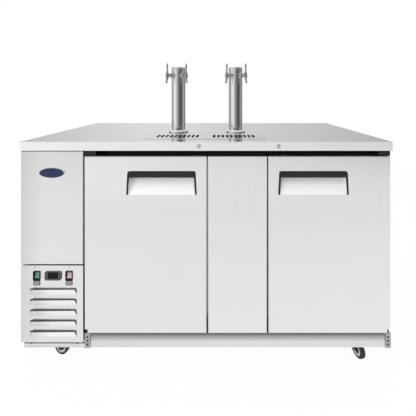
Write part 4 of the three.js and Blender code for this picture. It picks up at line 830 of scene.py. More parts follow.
# %% Gaskets and inner pans
def gasket_ring(hand):
    low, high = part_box(f"{hand}_door_gasket")
    back, front = low.y, high.y
    section = [
        (0, back), (0, back + 0.004), (0.002, back + 0.006), (0.001, back + 0.008), (0.003, front - 0.0005),
        (0.006, front), (0.018, front), (0.020, front - 0.001), (0.0205, back + 0.007),
        (0.0215, back + 0.005), (0.0205, back + 0.0035), (0.022, back + 0.002), (0.022, back),
    ]
    bm = bmesh.new()
    made = skin(bm, [[on_front(p.x, p.y, depth) for p in front_of(low, high, inset=inset)]
                     for inset, depth in section])
    joined(bm, made[-1], made[0])
    name, solid = f"{hand}_gasket_profile", f"{hand}_door_gasket"
    finished(name, bm, gasket_vinyl, f"{hand}_door", [solid], crease=40)


def inner_pan(hand):
    low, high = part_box(f"{hand}_door_liner")
    outline, dish = front_of(low, high, radius=0.012), front_of(low, high, radius=0.02, inset=0.03)
    bm = bmesh.new()
    rows = [[on_front(p.x, p.y, low.y) for p in outline]]
    made = skin(bm, rows + edge_rows(outline, on_front, high.y, -1, edge=0.004)[::-1])
    dished = skin(bm, [[on_front(p.x, p.y, high.y - depth) for p in moved_in(dish, inward)]
                       for inward, depth in ((0, 0), (0.002, 0.0004), (0.006, 0.0026), (0.008, 0.003))])
    cap(bm, made[-1], dished[0])
    cap(bm, dished[-1])
    cap(bm, made[0])
    name, solid = f"{hand}_door_inner_pan", f"{hand}_door_liner"
    finished(name, bm, lining_steel, f"{hand}_door", [solid])


for hand in hands:
    gasket_ring(hand)
    inner_pan(hand)
print("gaskets and inner pans")

# %% [markdown]
# ## Centre post
# A folded box between the doors, level with their faces, and behind it the wider mullion that
# both gaskets close on.

# %% Centre post
low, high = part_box("centre_post")
door_low, door_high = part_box("left_door_shell")
door_gap, mullion_inset, neck = 0.006, 0.0403, 0.005
post_left, post_right = door_high.x + door_gap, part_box("right_door_shell")[0].x - door_gap
mullion_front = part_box("insulated_cabinet")[0].y
bm = bmesh.new()
outline = rectangle(post_left, post_right, door_low.z, door_high.z, radius=0.0015)
rows = edge_rows(outline, on_front, low.y, 1, edge=0.0025)
rows.append([on_front(p.x, p.y, mullion_front - 0.0003) for p in outline])
capped_skin(bm, rows)
block_into(bm, (low.x, mullion_front, low.z + mullion_inset),
           (high.x, high.y, high.z - mullion_inset), edge=0.0015)
block_into(bm, (post_left + 0.002, mullion_front - neck, low.z + 0.045),
           (post_right - 0.002, mullion_front + neck, high.z - 0.045), edge=0)
finished("centre_post_folded_box", bm, door_steel, "cooler", ["centre_post"])
print("centre post", round(post_right - post_left, 3), "m wide")

# %% [markdown]
# ## Compressor panels
# Two folded panels close the compressor bay. The upper one carries a bare oval badge: a silver
# rim round a navy field that is slightly domed, both drawn as rings of points.

# %% Upper panel and badge
low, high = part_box("upper_front_panel")
face_y = low.y
bm = bmesh.new()
outline = front_of(low, high, radius=0.0012)
pressed_pan_into(bm, outline, [], on_front, face_y, high.y, sheet=0.002, edge=0.0022)
finished("upper_panel_folded_sheet", bm, panel_steel, "cooler", ["upper_front_panel"])

low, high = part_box("badge_plate")
badge_x, _, badge_z = middle_of("badge_plate")
badge_half_width, badge_half_height = (high.x - low.x) / 2, (high.z - low.z) / 2


def badge_ring(inset, depth, share=1.0):
    half_width, half_height = (badge_half_width - inset) * share, (badge_half_height - inset) * share
    return [on_front(p.x, p.y, depth) for p in oval(badge_x, badge_z, half_width, half_height, steps=96)]


bm = bmesh.new()
border = [(0, high.y), (0, low.y + 0.0004), (0.0006, low.y), (0.0022, low.y), (0.0028, low.y + 0.0005)]
capped_skin(bm, [badge_ring(inset, depth) for inset, depth in border])
finished("badge_silver_rim", bm, lock_chrome, "cooler", ["badge_plate"])
bm = bmesh.new()
field = [badge_ring(0.0029, low.y + 0.0007)]
field += [badge_ring(0.003, low.y + 0.0003 - 0.0001 * (1 - s), s) for s in (0.985, 0.9, 0.7, 0.4, 0.1)]
capped_skin(bm, field)
finished("badge_enamel_field", bm, badge_blue, "cooler")
print("badge", round(high.x - low.x, 3), "m wide")

# %% [markdown]
# The lower panel has windows for the controls and five louvres. Each louvre is a flap: the
# sheet is cut along the top and both ends and bent outwards about its lower edge, so air goes
# in over it and at its ends. Behind them lies the grey mat that filters this air, and it is
# what shows as the dark line over each flap. Painted shade darkens the mat towards its left end,
# and the flaps are a lighter copy of the panel's steel: painted light, also darker to the left.

# %% Louvre panel
def louvre_flap_into(bm, top):
    """A bowed sheet with thickness, which stands out most at its upper left."""
    across, up = 28, 8
    foot, rise = top - flap_height, flap_height - 0.0021
    borders = []
    for inward in (0.0, flap_sheet):
        grid = []
        for j in range(up + 1):
            t = j / up
            taper = flap_taper * t ** 1.3
            bow = flap_reach * t * t / (t + 0.1)
            row = []
            for i in range(across + 1):
                s = i / across
                crown = 1.1 - 0.28 * s
                x = louvre_left + taper + (louvre_right - louvre_left - 2 * taper) * s
                row.append(on_front(x, foot + rise * t, face_y - bow * crown + inward + 0.0002))
            grid.append(row)
        borders.append(border_of(skin(bm, grid, closed=False, material=1)))
    joined(bm, *borders)


def window_for(node, shrink):
    """An opening a little smaller than the control that covers it."""
    low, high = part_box(node)
    lower, upper = low.z + shrink + 0.0004, high.z - shrink - 0.0004
    return rectangle(low.x + shrink, high.x - shrink, lower, upper)


low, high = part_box("louvre_panel")
louvre_left, louvre_right = low.x + 0.045, low.x + 0.264
top_louvre, louvre_pitch, louvre_count = 0.3744, 0.0499, 5
flap_height, flap_reach, flap_taper, flap_sheet = 0.0285, 0.008, 0.007, 0.0012
louvre_tops = [top_louvre - louvre_pitch * row for row in range(louvre_count)]
openings = []
for top in louvre_tops:
    openings.append(rounded([
        (louvre_left - 0.001, top - flap_height, 0.001), (louvre_right + 0.001, top - flap_height, 0.001),
        (louvre_right + 0.0005, top, 0.004), (louvre_left - 0.0005, top, 0.0008),
    ], steps=3))
openings.append(window_for("light_switch_housing", 0.003))
openings.append(window_for("thermostat", 0.0052))
openings.append(window_for("power_switch_housing", 0.003))
bm = bmesh.new()
outline = rectangle(low.x, high.x, low.z + 0.0042, high.z, radius=0.0012)
pressed_pan_into(bm, outline, openings, on_front, face_y, high.y, sheet=0.002, edge=0.0012)
for top in louvre_tops:
    louvre_flap_into(bm, top)
pressed = finished("louvre_panel_pressed_sheet", bm, panel_steel, "cooler",
                   ["louvre_panel"], crease=30)
# the flaps get their lighter copy of the panel steel: painted light
pressed.data.materials.append(flap_painted_light_steel)
print(len(louvre_tops), "louvres", round(louvre_right - louvre_left, 3), "m wide")

# %% Filter mat
mat_margin, mat_bottom, mat_top = 0.006, louvre_tops[-1] - 0.034, louvre_tops[0] + 0.008
mat_front, mat_back = face_y + 0.0032, face_y + 0.0072
bm = bmesh.new()
mat = rectangle(louvre_left - mat_margin, louvre_right + mat_margin, mat_bottom, mat_top, radius=0.004)
plate_into(bm, mat, [], on_front, mat_front, mat_back, edge=0.0012)
finished("louvre_filter_mat", bm, filter_grey, "cooler")
print("filter mat", round(mat_top - mat_bottom, 3), "m high")

# %% [markdown]
# ## Screws and the shade strip under the panel
# Two small screws hold the louvre panel at its top. Round work such as a screw's head is
# turned as on a lathe: a profile of radius and height goes round an axis. Two larger screws
# sit in a dark grey strip between the panel and the frame's apron. The strip is painted shade,
# for the shadow under the panel's lower edge.

# %% Screws and shade strip
def around_axis(radius, height, place, steps):
    turns = [2 * math.pi * step / steps for step in range(steps)]
    return [place @ Vector((radius * math.cos(t), radius * math.sin(t), height)) for t in turns]


def turned_into(bm, profile, place, steps):
    """A profile of (radius, height) points; a point on the axis closes the shape there."""
    rows = []
    for radius, height in profile:
        on_axis = radius < 1e-7
        points = [place @ Vector((0, 0, height))] if on_axis else around_axis(radius, height, place, steps)
        rows.append([bm.verts.new(point) for point in points])
    for near, far in zip(rows, rows[1:]):
        if len(near) > 1 and len(far) > 1:
            joined(bm, near, far)
            continue
        for i in range(steps):
            j = (i + 1) % steps
            bm.faces.new((near[0], far[j], far[i]) if len(near) == 1 else (near[i], near[j], far[0]))


def softened(profile, radius, steps=3):
    """The profile with its inner corners rounded; a closed one repeats its first point."""
    closed = profile[0] == profile[-1]
    points = profile[:-1] if closed else profile
    last = len(points) - 1
    corners = [(*point, radius if closed or 0 < i < last else 0) for i, point in enumerate(points)]
    made = [tuple(p) for p in rounded(corners, steps)]
    return made + made[:1] if closed else made


def screw_into(bm, x, y, z, radius, proud):
    """A screw's head that stands out of a front face at y."""
    root, shoulder = -0.0006, proud * 0.35
    profile = [(0, proud), (radius * 0.75, proud), (radius, shoulder), (radius, root), (0, root)]
    place = Matrix.Translation((x, y, z)) @ Matrix.Rotation(math.radians(90), 4, "X")
    turned_into(bm, softened(profile, radius=0.0005), place, steps=20)


panel_low, panel_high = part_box("louvre_panel")
panel_screw_xs, apron_screw_xs = (-0.8126, -0.651), (-0.8436, -0.6222)
bm = bmesh.new()
for x in panel_screw_xs:
    screw_into(bm, x, face_y, panel_high.z - 0.0085, radius=0.0028, proud=0.001)
finished("panel_screws", bm, screw_steel, "cooler")

apron_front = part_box("base_frame")[0].y
# painted shade: a dark grey strip on the apron for the shadow under the louvre panel
shade_strip_bottom, shade_strip_top, shade_strip_screw_z, shade_strip_proud = 0.0932, 0.102, 0.0945, 0.0006
bm = bmesh.new()
for x in apron_screw_xs:
    screw_into(bm, x, apron_front - shade_strip_proud, shade_strip_screw_z, radius=0.0045, proud=0.0016)
block_into(bm, (panel_low.x + 0.0005, apron_front - shade_strip_proud, shade_strip_bottom),
           (panel_high.x, apron_front + 0.0005, shade_strip_top), edge=0.0003)
finished("apron_grey_shade_strip", bm, bezel_grey, "cooler")
print("shade_strip", round(shade_strip_top - shade_strip_bottom, 4), "m high")

# %% [markdown]
# ## Controls
# Two lit rocker switches. A switch is a black frame round a deep window, with the coloured
# rocker at its bottom, and a small plain plate under it. The window's sides are a thin-walled
# tub, so that nothing of the machine's inside shows past the rocker.

# %% Switches
def switch_frame(name):
    low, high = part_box(f"{name}_housing")
    x, _, z = middle_of(f"{name}_housing")
    window = rectangle(x - 0.013, x + 0.0134, z - 0.0172, z + 0.0172, radius=0.0012)
    bm = bmesh.new()
    plate_into(bm, front_of(low, high, radius=0.003), [window], on_front, low.y, face_y - 0.0003, edge=0.0009)
    tub_front, tub_floor, tub_wall = face_y - 0.0002, face_y + 0.0205, 0.001
    outer = moved_in(window, -tub_wall)
    tub = ((outer, tub_floor + tub_wall), (outer, tub_front), (window, tub_front), (window, tub_floor))
    capped_skin(bm, [[on_front(p.x, p.y, depth) for p in border] for border, depth in tub])
    finished(f"{name}_frame", bm, switch_black, "cooler", [f"{name}_housing"])


def chamfered_plate_into(bm, outline, place, facing, depths, chamfer):
    """A plate between two depths, with chamfered rims at both."""
    near, far = sorted(depths)
    stations = ((near, chamfer), (near + chamfer, 0), (far - chamfer, 0), (far, chamfer))
    capped_skin(bm, [[place @ Vector(facing(p.x, p.y, depth)) for p in moved_in(outline, inset)]
                     for depth, inset in stations])


def switch_lens(name, body, lens):
    x, _, z = middle_of(f"{name}_housing")
    half_width, half_height, chamfer = 0.0122, 0.0145, 0.0007
    lean = Matrix.Translation((x, face_y, z + 0.0012)) @ Matrix.Rotation(math.radians(-9), 4, "X")
    section = rounded([
        (0.003, -half_height, 0.0008), (0.0075, -half_height, 0.0005), (0.0105, 0, 0.004),
        (0.0075, half_height, 0.0005), (0.003, half_height, 0.0008), (0.005, 0, 0.012),
    ], steps=5)
    bm = bmesh.new()
    chamfered_plate_into(bm, section, lean, on_side, (-half_width, half_width), chamfer)
    finished(f"{name}_lens", bm, lens, body, [f"{name}_rocker"], crease=40)


def switch_plate(name):
    low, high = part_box(f"{name}_housing")
    left, right, foot, top = low.x + 0.0005, high.x - 0.0005, low.z - 0.0255, low.z - 0.0008
    plate = rounded([(left, foot, 0.004), (right, foot, 0.004), (right, top, 0.001), (left, top, 0.001)])
    bm = bmesh.new()
    plate_into(bm, plate, [], on_front, face_y - 0.0012, face_y - 0.0001, edge=0.0005)
    finished(f"{name}_plate_border", bm, bezel_grey, "cooler")
    bm = bmesh.new()
    plate_into(bm, moved_in(plate, 0.003), [], on_front, face_y - 0.0016, face_y - 0.001, edge=0.0003)
    finished(f"{name}_plate_face", bm, label_grey, "cooler")


for name, body, lens, slot in (("light_switch", "light_rocker", green_lens, "green_lens"),
                               ("power_switch", "power_rocker", rose_lens, "rose_lens")):
    switch_frame(name)
    switch_lens(name, body, lens)
    switch_plate(name)
    print(name, "with its plate")

# %% [markdown]
# The thermostat has a grey bezel with cut lower corners, a sunk black display and a long key
# at each end. Each key stands in a well that leaves it a narrow gap all round.

# %% Thermostat
def well_into(bm, opening, front, floor):
    """A sunk place with a softened rim. Returns the rim, as a hole for the face round it."""
    walls = edge_rows(opening, on_front, front, 1, edge=0.0004, hole=True, steps=2)
    walls.append([on_front(p.x, p.y, floor) for p in opening])
    made = skin(bm, walls)
    cap(bm, made[-1])
    return made[0]


low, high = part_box("thermostat")
x, _, z = middle_of("thermostat")
display_x, display_z, display_half_width, display_half_height = x + 0.0012, z + 0.004, 0.0243, 0.0156
cut_width, cut_height, display_depth, key_depth, key_gap = 0.0055, 0.007, 0.0014, 0.0033, 0.0004
outline = rounded([
    (low.x, low.z + cut_height, 0.004), (low.x + cut_width, low.z, 0.004), (high.x - cut_width, low.z, 0.004),
    (high.x, low.z + cut_height, 0.004), (high.x, high.z, 0.006), (low.x, high.z, 0.006),
], steps=4)
bm = bmesh.new()
rows = edge_rows(outline, on_front, low.y, 1, edge=0.0014)
rows.append([on_front(p.x, p.y, face_y - 0.0003) for p in outline])
made = skin(bm, rows)
sunk = rectangle(display_x - display_half_width, display_x + display_half_width,
                 display_z - display_half_height, display_z + display_half_height, radius=0.0012)
rims = [made[0], well_into(bm, sunk, low.y, low.y + display_depth)]
for hand in hands:
    well = front_of(*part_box(f"thermostat_button_{hand}"), 0.0008, inset=-key_gap)
    rims.append(well_into(bm, well, low.y, low.y + key_depth))
cap(bm, *rims)
cap(bm, made[-1])
block_into(bm, (x - 0.0355, face_y - 0.0004, z - 0.0145), (x + 0.0355, high.y, z + 0.0145), edge=0.001)
finished("thermostat_bezel", bm, bezel_grey, "cooler", ["thermostat"])
bm = bmesh.new()
plate_into(bm, moved_in(sunk, 0.0003), [], on_front, low.y + 0.0003, low.y + 0.0013, edge=0.0003)
finished("thermostat_display_window", bm, display_black, "cooler")
for hand in hands:
    node = f"thermostat_button_{hand}"
    key_low, key_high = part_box(node)
    bm = bmesh.new()
    key = front_of(key_low, key_high, radius=0.0012)
    plate_into(bm, key, [], on_front, key_low.y, key_high.y, edge=0.0007)
    finished(f"thermostat_{hand}_key", bm, bezel_grey, f"{hand}_button", [node])
print("thermostat", round(high.x - low.x, 3), "m wide")

# %% [markdown]
# ## Locks
# A round lock sits in the fascia over each door. Its head has a rim, a slightly sunk face and a
# key slot. Behind the fascia a flat cam swings down into the door.

# %% Locks
def ring_into(bm, profile, place, steps):
    """A closed profile, which repeats its first point, turned into a ring."""
    made = skin(bm, [around_axis(radius, height, place, steps) for radius, height in profile[:-1]])
    joined(bm, made[-1], made[0])


def key_lock(hand, side):
    low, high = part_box(f"lock_{hand}")
    x, z = lock_axis(hand, side), middle_of(f"lock_{hand}")[2]
    turn = Matrix.Translation((x, low.y, z)) @ Matrix.Rotation(math.radians(90), 4, "X")
    barrel_radius, barrel_end, cam_reach, cam_half_height, cam_sheet = 0.008, -0.021, 0.057, 0.007, 0.003
    head = [
        (0, -0.0007), (0.0064, -0.0007), (0.0069, -0.0005), (0.0078, -0.0004), (0.0092, -0.0008),
        (lock_radius, -0.0016), (lock_radius, -0.0027), (barrel_radius, -0.0027),
        (barrel_radius, barrel_end), (0, barrel_end),
    ]
    bm = bmesh.new()
    turned_into(bm, head, turn, steps=40)
    near, far = sorted((x, x - cam_reach * side))
    block_into(bm, (near, high.y - cam_sheet, z - cam_half_height),
               (far, high.y, z + cam_half_height), edge=0.0008)
    name, solid = f"{hand}_lock_head_and_cam", f"lock_{hand}"
    finished(name, bm, lock_chrome, f"{hand}_lock", [solid])
    slot_half_width, slot_half_height = 0.0011, 0.0055
    bm = bmesh.new()
    block_into(bm, (x - slot_half_width, low.y + 0.0002, z - slot_half_height),
               (x + slot_half_width, low.y + 0.0009, z + slot_half_height), edge=0.0002)
    groove = [(0.0062, -0.0001), (0.0078, -0.0001), (0.0078, -0.0014), (0.0062, -0.0014), (0.0062, -0.0001)]
    ring_into(bm, groove, turn, steps=40)
    finished(f"{hand}_lock_key_slot", bm, label_grey, f"{hand}_lock")
    print(hand, "lock at", round(x, 3))


for hand, side in hinge_sides.items():
    key_lock(hand, side)

# %% [markdown]
# ## Kick rail and lower hinges
# Under the doors a folded channel stands back from their faces, which puts its top in some
# shade; painted shade in its finish makes the top much darker still.
# The lower hinge is a plate screwed to it, with a lug, a pin and a collar for the door.

# %% Kick rail
low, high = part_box("kick_rail")
sheet, lip, end_foot = 0.002, 0.0065, 0.1035
section = rounded([
    (low.y, low.z, 0.0015), (low.y, high.z, 0.003), (high.y, high.z, 0), (high.y, high.z - sheet, 0),
    (low.y + sheet, high.z - sheet, 0.001), (low.y + sheet, low.z + sheet, 0),
    (low.y + lip, low.z + sheet, 0), (low.y + lip, low.z, 0),
], steps=4)
bm = bmesh.new()
capped_skin(bm, [[on_side(p.x, p.y, reach) for p in section] for reach in (low.x, high.x)])
for end in (low.x, high.x - sheet):
    block_into(bm, (end, low.y + 0.0012, end_foot),
               (end + sheet, high.y - 0.0005, high.z - 0.0012), edge=0.0003)
finished("kick_rail_folded_channel", bm, kick_steel, "cooler", ["kick_rail"])
kick_face = low.y
print("kick rail", round(high.x - low.x, 3), "m long")

# %% Lower hinges
def lower_hinge(hand, pin_x, plate_left, plate_right):
    low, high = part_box(f"lower_hinge_{hand}")
    pin_y = door_low.y + 0.01
    plate_back, plate_sheet = kick_face - 0.0003, 0.004
    lug_top, lug_bottom = door_low.z - 0.004, door_low.z - 0.009
    bm = bmesh.new()
    outline = rectangle(plate_left, plate_right, low.z - 0.009, lug_top - 0.001, radius=0.003)
    plate_into(bm, outline, [], on_front, plate_back - plate_sheet, plate_back, edge=0.001)
    block_into(bm, (low.x, pin_y - 0.006, lug_bottom), (high.x, pin_y + 0.014, lug_top), edge=0.001)
    name = f"{hand}_lower_hinge"
    finished(f"{name}_plate", bm, bracket_steel, "cooler", [f"lower_hinge_{hand}"])
    pin = [
        (0, -0.001), (0.0045, -0.001), (0.0045, 0.0005), (0.006, 0.0005), (0.006, 0.0215),
        (0.0052, 0.022), (0.0045, 0.022), (0.0045, 0.029), (0.0038, 0.030), (0, 0.030),
    ]
    bm = bmesh.new()
    turned_into(bm, pin, Matrix.Translation((pin_x, pin_y, lug_top)), steps=32)
    finished(f"{name}_pin", bm, bezel_grey, "cooler")
    return lug_top, plate_back - plate_sheet


def hinge_screws(hand, x, face, top):
    count, from_top, pitch = 3, 0.0225, 0.018
    bm = bmesh.new()
    for row in range(count):
        screw_into(bm, x, face, top - from_top - pitch * row, radius=0.0045, proud=0.0015)
    finished(f"{hand}_lower_hinge_screws", bm, dark_header, "cooler")


pin_inset = 0.01
# the plates stand further out than their solids: how far their left and right edges are moved
plate_moves = {"left": (-0.004, -0.004), "right": (0.0105, 0.0075)}
for hand, side in hinge_sides.items():
    low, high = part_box(f"lower_hinge_{hand}")
    left_move, right_move = plate_moves[hand]
    pin_x = low.x + pin_inset if side > 0 else high.x - pin_inset
    lug_top, plate_face = lower_hinge(hand, pin_x, low.x + left_move, high.x + right_move)
    hinge_screws(hand, middle_of(f"lower_hinge_{hand}")[0] + right_move, plate_face, lug_top)
print("two lower hinges, lugs at", round(lug_top, 4))

# %% [markdown]
# ## Solids that are kept
# Where a solid already has the real shape, it stays. A weld joins the separate triangles of the
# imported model, and a narrow bevel breaks every sharp edge, as a press or a file does. Both are
# modifiers, so the solid itself isn't touched.

# %% Kept solids
def keep_solid(node, finish, edge):
    solid = frame["nodes"][node]
    solid.data.materials.clear()
    solid.data.materials.append(finish)
    solid.data.shade_smooth()
    weld = solid.modifiers.new("weld", "WELD")
    weld.merge_threshold = 0.00001
    if edge > 0:
        bevel = solid.modifiers.new("broken_edges", "BEVEL")
        bevel.width = edge
        bevel.segments = 2
        bevel.limit_method = "ANGLE"
        bevel.angle_limit = math.radians(35)
        bevel.harden_normals = True


kept = [
    ("base_frame", rail_steel, 0.0006), ("insulated_cabinet", lining_steel, 0.0008),
    ("keg_floor_plate", lining_steel, 0.0008), ("side_panel", rail_steel, 0.0006),
    ("rear_vent_panel", back_steel, 0.0004), ("drip_pan", pan_steel, 0.0004),
    ("upper_hinge_left", dark_header, 0.0006), ("upper_hinge_right", dark_header, 0.0006),
    ("compressor", compressor_black, 0.001), ("condenser", fin_aluminium, 0),
    ("condenser_fan_motor", dark_header, 0.0008), ("condenser_fan", fan_black, 0.0004),
    ("evaporator_housing", lining_steel, 0.0008), ("evaporator_fan", fan_black, 0.0004),
]
for node, finish, edge in kept:
    keep_solid(node, finish, edge)
print(len(kept), "kept solids dressed")

# %% [markdown]
# Over the doors the cabinet's steel header is black, and so are the covers in front of the upper
# hinges. Between the counter and the doors they show as a dark line. Their black is partly
# painted shade: it makes that gap as dark as the shade under the counter.

# %% Header
low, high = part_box("insulated_cabinet")
cover_front, cover_back, cover_bottom, cover_top = -0.3465, -0.3448, 1.0038, 1.0355
# partly painted shade: the black header face and hinge covers deepen the shade in the gap over the doors
bm = bmesh.new()
block_into(bm, (low.x + 0.002, low.y - 0.0002, door_high.z - 0.02),
           (high.x - 0.002, low.y + 0.002, high.z - 0.002), edge=0)
for hand in hands:
    hinge_low, hinge_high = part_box(f"upper_hinge_{hand}")
    block_into(bm, (hinge_low.x, cover_front, cover_bottom),
               (hinge_high.x - 0.0005, cover_back, cover_top), edge=0.0004)
finished("header_dark_face", bm, dark_header, "cooler")
print("header", round(high.x - low.x, 3), "m wide")

# %% [markdown]
# ## Drip grille
# A flat sheet with two groups of ten long slots and a finger hole. The slots are drawn as true
# rounded outlines, and the rim round each is slightly rounded too.

# %% Drip grille
low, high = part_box("drip_grille")
grille_x, grille_y, _ = middle_of("drip_grille")
group_offset, slots_per_group, slot_pitch = 0.148, 10, 0.023
slot_half_width, slot_half_length, slot_radius = 0.0069, 0.0375, 0.0045
holes = []
for side in (-1, 1):
    for slot in range(slots_per_group):
        x = grille_x + side * group_offset + (slot - (slots_per_group - 1) / 2) * slot_pitch
        holes.append(rectangle(x - slot_half_width, x + slot_half_width,
                               grille_y - slot_half_length, grille_y + slot_half_length, slot_radius))
print(len(holes), "slots")
holes.append(oval(grille_x, grille_y, 0.0095, 0.006, steps=28))
bm = bmesh.new()
outline = rectangle(low.x, high.x, low.y, high.y, radius=0.003)
pressed_pan_into(bm, outline, holes, on_top, high.z, low.z, sheet=0.0015, edge=0.0006)
finished("drip_grille_slotted_sheet", bm, counter_steel, "grille", ["drip_grille"])

# %% [markdown]
# ## Towers
# Each tower is a polished tube on a round flange, closed by a crowned cap. A profile turned
# with many steps gives the clean mirror that a faceted tube can't.

# %% Towers
def tower(hand):
    bore, tube, flange, tube_top = 0.039, 0.0415, 0.058, 0.371
    stand = Matrix.Translation(tower_places[hand])
    column = [
        (bore, 0.0), (flange, 0.0), (flange, 0.008), (0.0545, 0.0115), (0.0475, 0.0125), (tube, 0.0125),
        (tube, tube_top), (bore, tube_top), (bore, 0.0),
    ]
    bm = bmesh.new()
    ring_into(bm, softened(column, radius=0.0014), stand, steps=96)
    name, solid = f"{hand}_tower_column", f"tower_column_{hand}"
    finished(name, bm, tower_chrome, "cooler", [solid])
    crown = [
        (0, 0.359), (0.0387, 0.359), (0.0387, 0.3713), (0.0407, 0.3713), (tube, 0.3718), (tube, 0.3785),
        (0.0409, 0.3812), (0.039, 0.3832), (0.0355, 0.3843), (0.025, 0.3848), (0.0125, 0.385), (0, 0.385),
    ]
    bm = bmesh.new()
    turned_into(bm, crown, stand, steps=96)
    finished(f"{hand}_tower_cap", bm, tower_chrome, "cooler", [f"tower_cap_{hand}"])


for hand in hands:
    tower(hand)
print("two towers")

# %% [markdown]
# ## Faucets
# A faucet is a row of turned pieces on one line: collar, hexagon nut, coupling nut with eight
# round notches, and barrel. At its end stands the valve body, and under it the spout, which
# bends out and ends in a flared tip. The spout is a tube swept along a path, with a radius of
# its own at each point.

# %% Faucet bodies
def tube_into(bm, path, radii, steps):
    """A tube along a path, with a radius for each of its points."""
    points = [Vector(p) for p in path]
    turns = [2 * math.pi * step / steps for step in range(steps)]
    side = (points[1] - points[0]).normalized().orthogonal().normalized()
    rows = []
    for index, point in enumerate(points):
        ahead = points[min(index + 1, len(points) - 1)] - points[max(index - 1, 0)]
        ahead.normalize()
        side = (side - ahead * side.dot(ahead)).normalized()
        other = ahead.cross(side)
        rows.append([point + (side * math.cos(t) + other * math.sin(t)) * radii[index] for t in turns])
    made = skin(bm, rows)
    bm.faces.new(made[0][::-1])
    bm.faces.new(made[-1])


shank_height, valve_out = 0.333, 0.084
coupling = [
    (0, 0.0256), (0.011, 0.0256), (0.011, 0.0405), (0.016, 0.0405), (0.016, 0.0455), (0.0145, 0.0466),
    (0.0142, 0.0475), (0.0142, 0.0565), (0.0125, 0.0593), (0.0095, 0.0593), (0.009, 0.0602),
    (0.009, 0.074), (0.010, 0.0755), (0.010, 0.079), (0.0085, valve_out), (0, valve_out),
]
hexagon = [(0, 0.0271), (0.0148, 0.0271), (0.0148, 0.034), (0, 0.034)]
valve_body = [
    (0, -0.0165), (0.0082, -0.0165), (0.0095, -0.0145), (0.0095, -0.0115), (0.0103, -0.0105),
    (0.0103, -0.006), (0.0095, -0.005), (0.0095, 0.0003), (0, 0.0003),
]
# outwards, upwards and radius of each point of the spout
spout = [
    (0, -0.010, 0.0066), (0, -0.016, 0.0064), (0.0006, -0.020, 0.0058), (0.0018, -0.0245, 0.0055),
    (0.0035, -0.030, 0.0053), (0.0052, -0.036, 0.0052), (0.006, -0.0395, 0.0053),
    (0.0061, -0.0405, 0.0059), (0.0062, -0.0425, 0.0062), (0.0063, -0.0455, 0.0062),
    (0.0063, -0.0462, 0.0058),
]


def faucet_body(name, solid, out, valve):
    bm = bmesh.new()
    turned_into(bm, softened(coupling, radius=0.0006, steps=2), out, steps=48)
    turned_into(bm, softened(hexagon, radius=0.0004, steps=2), out, steps=6)
    for notch in range(8):
        spot = out @ Matrix.Rotation(math.pi / 4 * notch, 4, "Z") @ Matrix.Translation((0.0142, 0, 0.052))
        bmesh.ops.create_uvsphere(bm, u_segments=10, v_segments=6, radius=0.0013, matrix=spot)
    turned_into(bm, softened(valve_body, radius=0.0008, steps=2), valve, steps=40)
    path = [valve @ Vector((0, -outwards, upwards)) for outwards, upwards, _ in spout]
    tube_into(bm, path, [radius for _, _, radius in spout], steps=28)
    finished(f"{name}_turned_body", bm, faucet_chrome, "cooler", [solid])


print("spout", -spout[-1][1], "m long under the valve")

# %% [markdown]
# The lever turns between two cheeks on the valve. It is turned too: a disc on the pivot, a
# tang, a ferrule, a ball and a slim tapered handle.

# %% Cheeks and levers
pivot_height, cheek_inner, cheek_outer = 0.004, 0.0036, 0.0066
pivot_disc = [
    (0, -0.0031), (0.0054, -0.0031), (0.006, -0.0025), (0.006, 0.0025), (0.0054, 0.0031), (0, 0.0031),
]
boss = [(0, 0.0012), (0.0022, 0.0012), (0.0028, 0.0006), (0.0028, -0.0004), (0, -0.0004)]
tang = [
    (0, 0.0), (0.0029, 0.0), (0.0029, 0.0158), (0.0064, 0.0162), (0.0071, 0.0175), (0.0071, 0.0192),
    (0.0058, 0.0205), (0.0034, 0.0212), (0.0034, 0.0234),
]
ball_radius, ball_height = 0.006, 0.028
ball_turns = [math.radians(-50 + 10 * k) for k in range(11)]
ball = [(ball_radius * math.cos(a), ball_height + ball_radius * math.sin(a)) for a in ball_turns]
grip = [
    (0.0037, 0.0332), (0.0036, 0.0350), (0.0048, 0.0356), (0.0051, 0.038), (0.0050, 0.044), (0.0044, 0.052),
    (0.0037, 0.0585), (0.0032, 0.0615), (0.0022, 0.0634), (0.0008, 0.064), (0, 0.064),
]


def faucet_cheeks(name, valve):
    cheek = rounded([
        (-0.0062, -0.0001, 0.0008), (0.0062, -0.0001, 0.0008), (0.0062, 0.009, 0.004),
        (0.0035, 0.0149, 0.002), (-0.0035, 0.0149, 0.002), (-0.0062, 0.009, 0.004),
    ], steps=5)
    bm = bmesh.new()
    for side in (-1, 1):
        depths = (side * cheek_inner, side * cheek_outer)
        chamfered_plate_into(bm, cheek, valve, on_side, depths, chamfer=0.0004)
        pivot_end = valve @ Matrix.Translation((side * cheek_outer, 0, pivot_height))
        turned_into(bm, boss, pivot_end @ Matrix.Rotation(math.radians(90 * side), 4, "Y"), steps=16)
    finished(f"{name}_cheeks", bm, faucet_chrome, "cooler")


def faucet_lever(name, body, solid, valve):
    pivot = valve @ Matrix.Translation((0, 0, pivot_height))
    bm = bmesh.new()
    turned_into(bm, pivot_disc, pivot @ Matrix.Rotation(math.radians(90), 4, "Y"), steps=32)
    turned_into(bm, softened(tang, radius=0.0004, steps=2) + ball + grip, pivot, steps=36)
    finished(f"{name}_turned_lever", bm, faucet_chrome, body, [solid])


